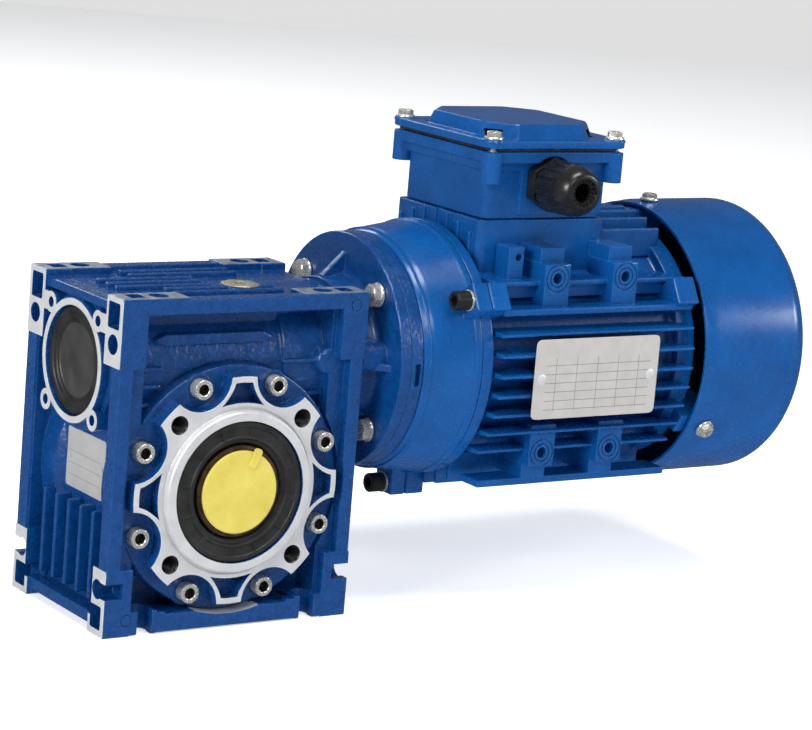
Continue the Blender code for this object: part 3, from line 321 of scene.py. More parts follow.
SHEETS = surface("stacked_sheet", (0.18, 0.18, 0.19), (0.36, 0.37, 0.39), 0.42, 1.0, grain=1500.0,
                 grain_depth=0.05, lumps=300.0, edge=0.0002, stretch=(6, 0.2, 0.2))
LABEL = surface("plate_metal", (0.60, 0.60, 0.58), (0.72, 0.72, 0.70), 0.34, 0.5, grain=1500.0,
                grain_depth=0.01, lumps=120.0, edge=0.0002)

BY_SLOT = {"blue_paint": CAST_PAINT, "motor_paint": SMOOTH_PAINT, "steel": STEEL,
           "black_steel": BLACK_STEEL_AND_SHADE,
           "black_rubber": RUBBER, "bronze": BRONZE, "cast_iron": HUB_IRON, "yellow_plastic": PLASTIC,
           "black_plastic": BLACK_PLASTIC, "label_metal": LABEL, "copper_winding": COPPER,
           "laminated_steel": SHEETS}
NODE_SLOT = {entry["node"]: entry["material_slot"] for entry in frame["record"]["subparts"]}
NODE_BODY = {node: body for body, nodes in frame["record"]["behaviour"]["bodies"].items() for node in nodes}
for node_name, cad_object in frame["nodes"].items():
    for slot in cad_object.material_slots:
        slot.material = BY_SLOT[NODE_SLOT[node_name]]


# ---------------------------------------------------------------- mesh tools
SHARP_ANGLE = math.radians(32)


def as_object(bm, name="shape"):
    bmesh.ops.recalc_face_normals(bm, faces=bm.faces)
    mesh = bpy.data.meshes.new(name)
    bm.to_mesh(mesh)
    bm.free()
    return bpy.data.objects.new(name, mesh)


def block(low, high, bevel=0.0, segments=2, turn=None):
    """A box between two corners with rounded edges; turn is an optional matrix applied last."""
    bm = bmesh.new()
    bmesh.ops.create_cube(bm, size=1.0)
    bmesh.ops.scale(bm, vec=[h - l for l, h in zip(low, high)], verts=bm.verts)
    if bevel:
        bmesh.ops.bevel(bm, geom=bm.edges[:], offset=bevel, segments=segments, affect="EDGES", profile=0.5)
    bmesh.ops.translate(bm, vec=[(h + l) / 2 for l, h in zip(low, high)], verts=bm.verts)
    if turn:
        bmesh.ops.transform(bm, matrix=turn, verts=bm.verts)
    return as_object(bm)


def rod(start, end, radius, sides=SMALL, end_radius=None):
    """A cylinder or a cone between two points."""
    start, end = Vector(start), Vector(end)
    along = end - start
    top = radius if end_radius is None else end_radius
    bm = bmesh.new()
    bmesh.ops.create_cone(bm, cap_ends=True, segments=sides, radius1=radius, radius2=top,
                          depth=along.length)
    point = Matrix.Translation((start + end) / 2) @ along.to_track_quat("Z", "Y").to_matrix().to_4x4()
    bmesh.ops.transform(bm, matrix=point, verts=bm.verts)
    return as_object(bm)


AXIS_TURNS = {"X": Matrix.Rotation(math.pi / 2, 4, "Y"), "Y": Matrix.Rotation(-math.pi / 2, 4, "X"),
              "Z": Matrix.Identity(4)}


def turned(axis, profile, sides=FINE, centre=(0, 0, 0)):
    """A turned solid; profile lists (distance along the axis, radius) around its section."""
    bm = bmesh.new()
    rings = []
    for along, radius in profile:
        if radius == 0:
            rings.append([bm.verts.new((0, 0, along))] * sides)
            continue
        rings.append([bm.verts.new((radius * math.cos(2 * math.pi * k / sides),
                                    radius * math.sin(2 * math.pi * k / sides),
                                    along)) for k in range(sides)])
    closed = profile[0][1] == 0 and profile[-1][1] == 0
    for near, far in zip(rings, rings[1:] + ([] if closed else rings[:1])):
        for k in range(sides):
            corners = (near[k], near[(k + 1) % sides], far[(k + 1) % sides], far[k])
            corners = [c for i, c in enumerate(corners) if c not in corners[:i]]
            if len(corners) > 2:
                bm.faces.new(corners)
    bmesh.ops.transform(bm, matrix=Matrix.Translation(centre) @ AXIS_TURNS[axis], verts=bm.verts)
    return as_object(bm)


def barrel(axis, low, high, radius, sides=FINE, centre=(0, 0, 0)):
    return turned(axis, [(low, 0), (low, radius), (high, radius), (high, 0)], sides, centre)


def rounded(points, radius, steps=4):
    """An outline or a section with each corner replaced by an arc; a radius of 0 leaves a corner."""
    made = []
    radii = radius if isinstance(radius, (list, tuple)) else [radius] * len(points)
    for i, (corner, size) in enumerate(zip(points, radii)):
        here = Vector(corner)
        back, ahead = Vector(points[i - 1]) - here, Vector(points[(i + 1) % len(points)]) - here
        if not size or min(back.length, ahead.length) < 1e-6:
            made.append(tuple(corner))
            continue
        half = back.angle(ahead) / 2
        cut = min(size / math.tan(half), back.length * 0.49, ahead.length * 0.49)
        start, end = here + back.normalized() * cut, here + ahead.normalized() * cut
        for step in range(steps + 1):
            t = step / steps
            made.append(tuple(start * (1 - t) ** 2 + here * 2 * t * (1 - t) + end * t ** 2))
    return made


def plate(axis, outline, low, high, centre=(0, 0), bevel=0.0):
    """A flat outline between two heights along an axis; its points lie in the other two axes."""
    bm = bmesh.new()
    order = {"X": lambda u, v, a: (a, u, v), "Y": lambda u, v, a: (u, a, v), "Z": lambda u, v,
             a: (u, v, a)}[axis]
    verts = [bm.verts.new(order(u + centre[0], v + centre[1], low)) for u, v in outline]
    face = bm.faces.new(verts)
    grown = bmesh.ops.extrude_face_region(bm, geom=[face])
    moved = [g for g in grown["geom"] if isinstance(g, bmesh.types.BMVert)]
    bmesh.ops.translate(bm, vec=Vector(order(0, 0, high)) - Vector(order(0, 0, low)), verts=moved)
    if bevel:
        index = "XYZ".index(axis)
        rims = [e for e in bm.edges if abs(e.verts[0].co[index] - e.verts[1].co[index]) < 1e-6]
        bmesh.ops.bevel(bm, geom=rims, offset=bevel, segments=2, affect="EDGES", profile=0.5)
    return as_object(bm)


def around(angle, radius):
    return radius * math.cos(math.radians(angle)), radius * math.sin(math.radians(angle))


def about(centre, matrix):
    """A turn about a point other than the drawing point."""
    return Matrix.Translation(centre) @ matrix @ Matrix.Translation(-Vector(centre))


def x_turn(degrees):
    return about(WORM_AT, Matrix.Rotation(math.radians(degrees), 4, "X"))


def run_booleans(base, adds, cuts):
    scene = bpy.context.scene.collection
    scene.objects.link(base)
    groups = []
    for kind, shapes in (("UNION", adds), ("DIFFERENCE", cuts)):
        if shapes:
            group = bpy.data.collections.new(kind)
            scene.children.link(group)
            for shape in shapes:
                group.objects.link(shape)
            boolean = base.modifiers.new(kind, "BOOLEAN")
            boolean.operation = kind
            boolean.solver = "EXACT"
            boolean.operand_type = "COLLECTION"
            boolean.collection = group
            groups.append(group)
    bpy.context.view_layer.update()
    mesh = bpy.data.meshes.new_from_object(base.evaluated_get(bpy.context.evaluated_depsgraph_get()))
    for group in groups:
        for shape in list(group.objects):
            bpy.data.objects.remove(shape)
        bpy.data.collections.remove(group)
    bpy.data.objects.remove(base)
    return mesh


def place(node, base, materials, adds=(), cuts=(), faces=None):
    """Make the fine piece that stands for one CAD node. faces(centre, normal, corners) picks a material."""
    mesh = run_booleans(base, list(adds), list(cuts))
    bm = bmesh.new()
    bm.from_mesh(mesh)
    bmesh.ops.remove_doubles(bm, verts=bm.verts, dist=0.001)
    bmesh.ops.dissolve_degenerate(bm, edges=bm.edges, dist=0.0005)
    if faces:
        for face in bm.faces:
            corners = [vert.co for vert in face.verts]
            face.material_index = faces(face.calc_center_median(), face.normal, corners)
    bmesh.ops.translate(bm, vec=(SHIFT, 0, 0), verts=bm.verts)
    bmesh.ops.scale(bm, vec=(MM, MM, MM), verts=bm.verts)
    bm.to_mesh(mesh)
    bm.free()
    mesh.name = node + "_fine"
    piece = bpy.data.objects.new(node + "_fine", mesh)
    bpy.context.scene.collection.objects.link(piece)
    for material in materials:
        mesh.materials.append(material)
    mesh.shade_smooth()
    mesh.set_sharp_from_angle(angle=SHARP_ANGLE)
    weighted = piece.modifiers.new("normals", "WEIGHTED_NORMAL")
    weighted.keep_sharp = True
    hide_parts(node)
    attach(piece, NODE_BODY[node])
    return piece


def span(a, b):
    return (a, b) if a < b else (b, a)


SIGNS = [(sx, sy) for sx in (-1, 1) for sy in (-1, 1)]


def quarter(sx, sy, x, y, z, bevel=0.0):
    """A box given for the +X +Y quarter, mirrored to the quarter that the signs name."""
    (x0, x1), (y0, y1) = span(sx * x[0], sx * x[1]), span(sy * y[0], sy * y[1])
    return block((x0, y0, z[0]), (x1, y1, z[1]), bevel)


# ---------------------------------------------------------------- output flanges
def star_outline(shrink=0.0):
    """The machined flange face: a circle with a scallop cut at each of its eight screws."""
    star, scallop = STAR_R - shrink, SCALLOP_R + shrink
    reach = math.acos((SCALLOP_AT ** 2 + star ** 2 - scallop ** 2) / (2 * SCALLOP_AT * star))
    half_arc = math.atan2(star * math.sin(reach), SCALLOP_AT - star * math.cos(reach))
    points = []
    steps = 20
    for k in range(8):
        middle = math.radians(22.5 + 45 * k)
        for step in range(steps + 1):
            sweep = half_arc * (1 - 2 * step / steps)
            u = SCALLOP_AT - scallop * math.cos(sweep)
            v = -scallop * math.sin(sweep)
            points.append((u * math.cos(middle) - v * math.sin(middle),
                           u * math.sin(middle) + v * math.cos(middle)))
        lobe = math.pi / 4 - 2 * reach
        for step in range(1, 4):
            angle = middle + reach + lobe * step / 4
            points.append((star * math.cos(angle), star * math.sin(angle)))
    return points


def window_outline(angle):
    """The cast pocket in one lobe of the star: arcs inside and outside, sides that follow the scallops."""
    points = []
    for radius, half in ((38.2, 15.5), (47.0, 5.0)):
        sweep = [half * (1 - 2 * step / 8) for step in range(9)]
        if radius < 40:
            sweep = sweep[::-1]
        for a in sweep:
            points.append(around(angle + a, radius))
    inner_end, outer_start = Vector(points[8]), Vector(points[9])
    outer_end, inner_start = Vector(points[17]), Vector(points[0])
    axis = Vector(around(angle, 1.0))

    def side(first, second):
        middle = (first + second) / 2
        bend = middle - (middle - axis * middle.dot(axis)) * 0.24
        return [tuple(first * (1 - t) ** 2 + bend * 2 * t * (1 - t) + second * t ** 2)
                for t in (0.2, 0.4, 0.6, 0.8)]

    return points[:9] + side(inner_end, outer_start) + points[9:] + side(outer_end, inner_start)


def flange_cuts(side):
    cuts = []
    low, high = span(side * (COVER_FACE + 0.6), side * (FLANGE_FACE + 1))
    for k in range(4):
        cuts.append(plate("Y", window_outline(90 * k), low, high, (0, OUTPUT_Z)))
        x, z = around(45 + 90 * k, TAPPED_AT)
        z += OUTPUT_Z
        hole = [(side * (FLANGE_FACE - 10), 0)]
        for turn_step in range(12):
            deep = FLANGE_FACE - 10 + turn_step * 0.75
            hole += [(side * deep, 3.3), (side * (deep + 0.35), 3.75)]
        hole += [(side * (FLANGE_FACE - 0.6), 3.6), (side * (FLANGE_FACE + 0.1), 4.2),
                 (side * (FLANGE_FACE + 1), 4.2),
                 (side * (FLANGE_FACE + 1), 0)]
        cuts.append(turned("Y", hole, SMALL, (x, 0, z)))
    return cuts


def star_face(side):
    """Machined where the flange face, the pilot and the seal bore are, painted elsewhere; the walls of the
    tapped holes get the black material as painted shade.
    """
    def pick(centre, normal, corners):
        radius = math.hypot(centre.x, centre.z - OUTPUT_Z)
        out = side * centre.y
        if out > FLANGE_FACE - 0.15 and side * normal.y > 0.9:
            return 1
        if out > FLANGE_FACE - 0.7 and radius < PILOT_R + 3:
            return 1
        # Painted shade: the tapped holes are bare machined metal, but their walls are coloured black.
        if out > FLANGE_FACE - 10.5 and any(
                math.hypot(centre.x - around(45 + 90 * k, TAPPED_AT)[0],
                           centre.z - OUTPUT_Z - around(45 + 90 * k,
                                                        TAPPED_AT)[1]) < 4.1 for k in range(4)):
            return 2
        return 0
    return pick


def pilot_profile(side):
    """The raised pilot with a fine groove round its foot."""
    s = side
    return [(s * (FLANGE_FACE - 3), SEAL_R - 2), (s * (PILOT_FACE - 0.4), SEAL_R - 2),
            (s * PILOT_FACE, SEAL_R - 1.6),
            (s * PILOT_FACE, PILOT_R - 0.5), (s * (PILOT_FACE - 0.5), PILOT_R),
            (s * (FLANGE_FACE - 3), PILOT_R)]


def groove(side, radius, width, depth):
    s = side
    return turned("Y", [(s * (FLANGE_FACE - depth), radius - width),
                        (s * (FLANGE_FACE + 1), radius - width),
                        (s * (FLANGE_FACE + 1), radius + width),
                        (s * (FLANGE_FACE - depth), radius + width)],
                  FINE, OUTPUT_AT)


# ---------------------------------------------------------------- gearbox housing
def housing():
    wide, deep = HALF_LENGTH - 0.4, HALF_WIDTH - 0.2
    adds = [
        block((-wide + 1.0, -deep + 0.6, 136.6), (wide - 1.0, deep - 0.6, 140.6), 0.6),
        block((-wide + 1.0, -deep + 0.6, 2.8), (wide - 1.0, deep - 0.6, 8.0), 0.6),
        barrel("Y", -COVER_SEAT - 1, 31, 49.0, FINE, OUTPUT_AT),
        turned("Y", rounded([(-COVER_SEAT - 1, 0), (-COVER_SEAT - 1, COVER_R), (-21, COVER_R), (-16, 49),
                             (-16, 0)],
                            [0, 0, 2, 1, 0]), FINE, OUTPUT_AT),
        turned("Y", rounded([(16, 0), (16, 49), (21, COVER_R), (COVER_FACE, COVER_R), (COVER_FACE, 0)],
                            [0, 1, 2, 1, 0]), FINE, OUTPUT_AT),
        plate("Y", star_outline(), COVER_FACE - 2, FLANGE_FACE, (0, OUTPUT_Z), 0.35),
        turned("Y", pilot_profile(1), FINE, OUTPUT_AT),
        turned("X", rounded([(-56, 0), (-56, 29.5), (25.5, 29.5), (25.5, 31.6), (57, 31.6), (57, 0)],
                            [0, 0, 1.5, 1.5, 0, 0]), FINE, WORM_AT),
        turned("X", rounded([(-HALF_LENGTH, 0), (-HALF_LENGTH, 26.6), (-50, 27.6), (-50, 0)],
                            [0, 0.4, 0, 0]),
               FINE, WORM_AT),
        turned("X", rounded([(50, 0), (50, 32.0), (HALF_LENGTH, 31.0), (HALF_LENGTH, 0)], [0, 0, 0.4, 0]),
               FINE, WORM_AT),
    ]
    for side in (-1, 1):
        x0, x1 = span(side * (WEB_X - 4.5), side * WEB_X)
        adds.append(block((x0, -deep + 5, 5), (x1, deep - 5, 140)))
        y0, y1 = span(side * (deep - FRAME_BAR), side * deep)
        adds.append(block((-wide + 0.6, y0, 136.8), (wide - 0.6, y1 - 0.1, 143.3), 0.7))
        adds.append(block((-34, y0 + 0.2, 0.4), (34, y1 - 0.2, 8.4), 0.8))
        y0, y1 = span(side * 22, side * 29.7)
        spine = [(-37, 123.5), (-32, 126.0), (16, 126.0), (20.5, 123.5), (16, 121.0), (-32, 121.0)]
        adds.append(plate("Y", spine, y0, y1, (0, 0), 1.2))
        boss = rounded([(18, 0), (18, 6.4), (37.0, 5.8), (37.0, 0)], [0, 0, 3.5, 0], 6)
        adds.append(turned("Y", [(side * along, radius) for along, radius in boss], MEDIUM, (45.5, 0, 113)))
        for z, x_near in ((113.0, 24), (104.2, 31), (98.2, 33), (91.0, 36)):
            y0, y1 = span(side * 24, side * (33.5 if z > 105 else 31.5))
            adds.append(block((x_near, y0, z - 1.0), (46, y1, z + 1.0), 0.8))
        for z in (112.0, 104.2, 96.4):
            y0, y1 = span(side * 20, side * (31.5 if z < 110 else 32.6))
            adds.append(block((-48, y0, z - 1.0), (-34, y1, z + 1.0), 0.8))
    for sx, sy in SIGNS:
        adds.append(quarter(sx, sy, (HALF_LENGTH - FRAME_BAR, wide), (deep - FRAME_BAR - 1, deep),
                            (1.0, 143.0), 0.8))
        adds.append(quarter(sx, sy, (WEB_X - 4, wide - 1.5),
                            (deep - FRAME_BAR - 1.2, deep - FRAME_BAR + 2), (4, 140)))
        adds.append(quarter(sx, sy, (47.5, HALF_LENGTH), (27.5, HALF_WIDTH), (114.5, HEIGHT - 0.2), 0.6))
        adds.append(quarter(sx, sy, (47.0, HALF_LENGTH), (28.0, HALF_WIDTH), (0.0, 29.0), 0.6))
        adds.append(quarter(sx, sy, (28.0, 59.6), (28.2, 41.9), (137.3, HEIGHT), 0.5))
        adds.append(quarter(sx, sy, (34.0, 58), (27.2, 41.7), (0.2, 10.5), 0.8))
        adds.append(quarter(sx, sy, (30.0, 34.8), (34.8, 41.5), (0.3, 9.4), 0.8))
    for sy, sz in SIGNS:
        y, z = sy * EAR_AT, WORM_Z + sz * EAR_AT
        adds.append(rod((-HALF_LENGTH, y, z), (-48.5, y, z), 4.6, MEDIUM))
        if sz > 0:
            y0, y1 = span(sy * 22.5, sy * 29)
            adds.append(block((-HALF_LENGTH, y0, z - 4), (-52, y1, z + 4.2), 0.3))
    for y in (-22, -11, 0, 11, 22):
        adds.append(block((-57.5, y - 1.1, 12), (-45, y + 1.1, 50), 0.9, 3))
        adds.append(block((45, y - 1.1, 12), (57.5, y + 1.1, 50), 0.9, 3))
    for y in (-24, -16, 16, 24):
        adds.append(block((-27, y - 1.2, 139), (27, y + 1.2, 143.4), 0.8, 3))
    for y in (-8, 0, 8):
        adds.append(block((-46, y - 1.2, 139), (0, y + 1.2, 143.2), 0.8, 3))
    adds.append(rod((OIL_AT[0], OIL_AT[1], 137), (OIL_AT[0], OIL_AT[1], 142.9), 10.0, MEDIUM, 9.3))

    cuts = [
        barrel("Y", -HALF_WIDTH - 3, -COVER_SEAT, COVER_R + 0.5, FINE, OUTPUT_AT),
        barrel("Y", -COVER_SEAT - 5, 22, 44.0, FINE, OUTPUT_AT),
        barrel("Y", 20, 37, 34.0, FINE, OUTPUT_AT),
        barrel("Y", 36, PILOT_FACE + 2, SEAL_R, FINE, OUTPUT_AT),
        groove(1, PILOT_R + 0.9, 0.55, 0.5),
        barrel("X", -HALF_LENGTH - 2, -37, WORM_BEARING_R, FINE, WORM_AT),
        barrel("X", -38, 31, 18.0, MEDIUM, WORM_AT),
        barrel("X", 30, HALF_LENGTH + 2, WORM_BEARING_R, FINE, WORM_AT),
        rod((OIL_AT[0], OIL_AT[1], 118), (OIL_AT[0], OIL_AT[1], 150), 6.3, MEDIUM),
    ]
    cuts += flange_cuts(1)
    for x, z in ((53.6, 138.2), (-49.0, 7.0)):
        ring = [(-HALF_WIDTH - 1, 2.2), (-HALF_WIDTH - 1, 2.7), (-HALF_WIDTH + 0.55, 2.7),
                (-HALF_WIDTH + 0.55, 2.2)]
        cuts.append(turned("Y", ring, SMALL, (x, 0, z)))
    for sy, sz in SIGNS:
        y, z = sy * EAR_AT, WORM_Z + sz * EAR_AT
        cuts.append(rod((-63, y, z), (-50, y, z), 2.3))
    for k in range(8):
        x, z = around(22.5 + 45 * k, SCREW_AT)
        cuts.append(rod((x, -COVER_SEAT - 2, OUTPUT_Z + z), (x, -COVER_SEAT + 12, OUTPUT_Z + z), 2.6,
                        SMALL))
    for sx, sy in SIGNS:
        hole_x, hole_y = sx * FOOT_X, sy * FOOT_Y
        cuts.append(rod((hole_x, hole_y, 134), (hole_x, hole_y, 150), FOOT_R))
        cuts.append(rod((hole_x, hole_y, -3), (hole_x, hole_y, 14), FOOT_R))
        cuts.append(quarter(sx, sy, (FOOT_X - 3.6, FOOT_X + 3.6), (FOOT_Y, 46), (-3, 13.5)))
        cuts.append(quarter(sx, sy, (FOOT_X + 7.5, FOOT_X + 14.5), (30.8, 38.6), (140.6, 150), 0.8))
        for z in (SIDE_LOW, SIDE_HIGH):
            cuts.append(rod((sx * 50.5, hole_y, z), (sx * 63, hole_y, z), FOOT_R))
        cuts.append(quarter(sx, sy, (51.5, 63), (FOOT_Y, 46), (SIDE_LOW - 3.4, SIDE_LOW + 3.4)))
        cuts.append(quarter(sx, sy, (52, 63), (29.6, 39.4), (130.6, 141.6), 0.9))
        cuts.append(quarter(sx, sy, (52, 63), (30.4, 39.4), (3.0, 13.2), 0.9))
        cuts.append(quarter(sx, sy, (52, 63), (26.0, 30.6), (8.0, 32.0), 0.5))

    def faces(centre, normal, corners):
        if abs(centre.x) > HALF_LENGTH - 0.1 and abs(normal.x) > 0.9:
            return 1
        if centre.z > HEIGHT - 0.1 and normal.z > 0.9:
            return 3
        if centre.z < 0.1 and normal.z < -0.9:
            return 1
        radii = [math.hypot(corner.x, corner.z - OUTPUT_Z) for corner in corners]
        recess = max(abs(radius - COVER_R - 0.5) for radius in radii) < 0.15
        if recess and centre.y < -COVER_SEAT and centre.z < 12:
            return 1
        return star_face(1)(centre, normal, corners) if centre.y > 20 else 0

    base = block((-WEB_X + 2, -22.6, 5.5), (WEB_X - 2, 22.6, 139.5))
    # The third material paints the tapped holes black as painted shade.
    place("gearbox_housing", base, [CAST_PAINT, MACHINED, BLACK_STEEL_AND_SHADE, WORN_PAD], adds, cuts, faces)


def cover():
    profile = rounded([(-COVER_FACE, 40.0), (-COVER_FACE, COVER_R), (-COVER_SEAT - 0.3, COVER_R),
                       (-COVER_SEAT - 0.3, 43.7), (-BEARING_BACK, 43.7), (-BEARING_BACK, SEAL_R - 1),
                       (-FLANGE_FACE, SEAL_R - 1), (-FLANGE_FACE, 38.0), (-COVER_FACE - 1, 38.0)],
                      [0, 1.2, 0, 0, 0.5, 0, 0, 0, 0])
    adds = [plate("Y", star_outline(), -FLANGE_FACE, -COVER_FACE + 1.5, (0, OUTPUT_Z), 0.35),
            turned("Y", pilot_profile(-1), FINE, OUTPUT_AT)]
    for k in range(8):
        x, z = around(22.5 + 45 * k, SCREW_AT)
        seat = turned("Y", rounded([(-COVER_FACE - 0.15, 4.9), (-COVER_FACE - 0.15, 6.0),
                                    (-COVER_FACE + 1, 6.6),
                                    (-COVER_FACE + 1, 4.9)], 0), MEDIUM, (x, 0, OUTPUT_Z + z))
        adds.append(seat)
    cuts = [barrel("Y", -PILOT_FACE - 1, -36, SEAL_R, FINE, OUTPUT_AT),
            barrel("Y", -37, -BEARING_BACK + 1, 34.0, FINE, OUTPUT_AT),
            groove(-1, PILOT_R + 0.9, 0.55, 0.5)]
    cuts += flange_cuts(-1)
    for k in range(8):
        x, z = around(22.5 + 45 * k, SCREW_AT)
        cuts.append(rod((x, -COVER_FACE - 1, OUTPUT_Z + z), (x, -COVER_SEAT + 1, OUTPUT_Z + z), 2.6))
    # The third material paints the tapped holes black as painted shade.
    place("output_cover", turned("Y", profile, FINE, OUTPUT_AT), [CAST_PAINT, MACHINED, BLACK_STEEL_AND_SHADE], adds,
          cuts,
          star_face(-1))


def seals_and_plugs():
    for side, where in ((-1, "front"), (1, "rear")):
        s = side
        face, back = PILOT_FACE - 0.7, 37.3
        section = [(s * back, SEAL_R - 0.3), (s * (face - 0.6), SEAL_R - 0.3), (s * face, SEAL_R - 0.9),
                   (s * face, 28.4), (s * (face - 0.5), 28.1), (s * (face - 0.5), 24.4), (s * face, 24.1),
                   (s * face, 23.2), (s * (face - 1.6), 22.6), (s * (face - 1.8), 21.4),
                   (s * (face - 3.5), 20.4),
                   (s * back, 20.4)]
        marks = []
        for k in range(12):
            angle = math.radians(30 * k + 9)
            width = 0.9 if k % 4 == 0 else 0.35
            low, high = span(s * (face - 1.0), s * (face - 0.05))
            turn = about(OUTPUT_AT, Matrix.Rotation(angle, 4, "Y"))
            marks.append(block((23.6, low, OUTPUT_Z - width), (28.8, high, OUTPUT_Z + width), 0.0, 2, turn))
        place(f"output_seal_{where}", turned("Y", section, FINE, OUTPUT_AT), [RUBBER], marks)

        cap = HUB_END + 0.3
        plug = [(s * (cap - 9), 0), (s * (cap - 9), 11.6), (s * (cap - 8.4), 12.2), (s * cap, 12.2),
                (s * cap, 17.8),
                (s * (cap + 0.3), 18.1), (s * (cap + 1.0), 18.1), (s * (cap + 1.45), 17.6),
                (s * (cap + 1.5), 16.9),
                (s * (cap + 1.5), 0)]
        finger = rounded([(-1.75, 11.5), (1.75, 11.5), (1.75, 20.2), (-1.75, 20.2)], 1.7, 6)
        low, high = span(s * (cap + 0.2), s * (cap + 2.3))
        tab = plate("Y", finger, low, high, (0, 0), 0.3)
        tab.data.transform(Matrix.Translation(OUTPUT_AT) @ Matrix.Rotation(math.radians(24), 4, "Y"))
        place(f"bore_plug_{where}", turned("Y", plug, FINE, OUTPUT_AT), [PLASTIC], [tab])


def output_shaft():
    end, bore, hub, rim = HUB_END, 12.5, 20.0, 27.0
    section = rounded([(-end, bore), (-end, hub), (-13.2, hub), (-13.2, rim), (13.2, rim), (13.2, hub),
                       (end, hub),
                       (end, bore)], [0.6, 0.6, 0, 0.4, 0.4, 0, 0.6, 0.6], 3)
    keyway = block((-4, -end - 2, OUTPUT_Z + 9.0), (4, end + 2, OUTPUT_Z + 15.8))
    place("output_shaft", turned("Y", section, FINE, OUTPUT_AT), [HUB_IRON], cuts=[keyway])


def cap_screw(node, base_at, facing, head_r, head_h, shank_r, shank_l, socket, material):
    """A socket-head screw whose socket is painted black as painted shade; facing turns +Z to its direction.
    """
    profile = rounded([(-shank_l, 0), (-shank_l, shank_r), (0, shank_r), (0, head_r), (head_h, head_r),
                       (head_h, 0)],
                      [0, 0.3, 0, 0.2, 0.5, 0], 3)
    body = turned("Z", profile, MEDIUM)
    hole = rod((0, 0, head_h * 0.42), (0, 0, head_h + 1), socket / math.cos(math.pi / 6), 6)
    dish = rod((0, 0, head_h - 0.35), (0, 0, head_h + 0.6), socket * 1.12, MEDIUM, socket * 1.5)
    put = Matrix.Translation(base_at) @ facing
    for shape in (body, hole, dish):
        shape.data.transform(put)
    back = put.inverted()

    # Painted shade: the faces inside the socket take the black material, while the rest of the head keeps
    # the screw's own metal.
    def faces(centre, normal, corners):
        spot = back @ centre
        return 1 if math.hypot(spot.x,
                               spot.y) < socket * 1.12 and spot.z > 0 and spot.z < head_h - 0.3 else 0

    place(node, body, [material, BLACK_STEEL_AND_SHADE], cuts=[hole, dish], faces=faces)


def flange_screw(node, base_at, facing, hex_r, head_h, shank_r, shank_l, washer_r, cross=False):
    """A hexagon screw with a round washer face and a crowned head."""
    low = 1.1
    profile = rounded([(-shank_l, 0), (-shank_l, shank_r), (0, shank_r), (0, washer_r),
                       (low, washer_r * 0.94),
                       (low, 0)], [0, 0.2, 0, 0.25, 0.25, 0], 3)
    body = turned("Z", profile, MEDIUM)
    head = rod((0, 0, 0.5), (0, 0, head_h), hex_r, 6)
    outer = turned("Z", [(0.2, hex_r * 0.5), (0.2, hex_r * 2.0), (head_h + 1, hex_r * 2.0),
                         (head_h + 1, hex_r * 0.5),
                         (head_h, hex_r * 0.84), (head_h - hex_r * 0.13, hex_r * 1.02),
                         (0.25, hex_r * 1.02)],
                   MEDIUM)
    cuts = []
    if cross:
        for turn in (0, 90):
            bar = block((-hex_r * 0.62, -0.45, head_h - 0.9), (hex_r * 0.62, 0.45, head_h + 1))
            bar.data.transform(Matrix.Rotation(math.radians(turn + 20), 4, "Z"))
            cuts.append(bar)
    put = Matrix.Translation(base_at) @ facing
    head_mesh = run_booleans(head, [], [outer])
    head = bpy.data.objects.new("head", head_mesh)
    for shape in [body, head] + cuts:
        shape.data.transform(put)
    place(node, body, [STEEL], [head], cuts)


FACING = {"-Y": Matrix.Rotation(math.pi / 2, 4, "X"), "-X": Matrix.Rotation(-math.pi / 2, 4, "Y"),
          "+Z": Matrix.Identity(4)}


def gearbox_trim():
    for k in range(8):
        x, z = around(22.5 + 45 * k, SCREW_AT)
        spin = Matrix.Rotation(math.radians(37 * k), 4, "Z")
        cap_screw(f"cover_screw_{k + 1}", (x, -COVER_FACE - 0.3, OUTPUT_Z + z), FACING["-Y"] @ spin, 4.3,
                  5.0, 2.15,
                  14.0, 2.15, STEEL)
    low, high = limits("worm_end_cap")
    out, back, radius = low.x, high.x, high.y
    cap = [(out + 1.6, 0), (out + 1.6, 15.6), (out + 1.2, 16.0), (out + 1.2, 17.2), (out + 0.5, 17.8),
           (out + 0.5, 19.6), (out, 20.2), (out, radius - 0.6), (out + 0.6, radius), (back, radius),
           (back, 0)]
    place("worm_end_cap", turned("X", cap, FINE, WORM_AT), [RUBBER, DARK_CAP],
          faces=lambda centre, normal, corners: 1 if math.hypot(centre.y, centre.z - WORM_Z) < 16.5 else 0)

    x, y, seat = OIL_AT
    base = turned("Z", rounded([(seat - 10, 0), (seat - 10, 5.8), (seat, 5.8), (seat, 8.4),
                                (seat + 0.25, 8.4),
                                (seat + 0.25, 0)], 0), MEDIUM, (x, y, 0))
    hexagon = rod((x, y, seat + 0.1), (x, y, seat + 0.6), 8.5, 6)
    place("oil_plug", base, [PLUG_STEEL], [hexagon], [rod((x, y, seat - 3), (x, y, seat + 2), 2.9, 6)])

    low, high = limits("gearbox_nameplate")
    outline = rounded([(low.y, low.z), (high.y, low.z), (high.y, high.z), (low.y, high.z)], 1.6)
    world_low, world_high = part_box("gearbox_nameplate")
    lettering = printed_plate("gearbox_plate_print", world_low, world_high, 5, 1, (0.50, 0.50, 0.49))
    middle = (low.z + high.z) / 2
    rivets = [rod((low.x, y, middle), (low.x + 0.5, y, middle), 1.2)
              for y in (low.y + 2.5, high.y - 2.5)]
    place("gearbox_nameplate", plate("X", outline, low.x + 0.25, high.x, (0, 0), 0.1), [lettering], rivets)


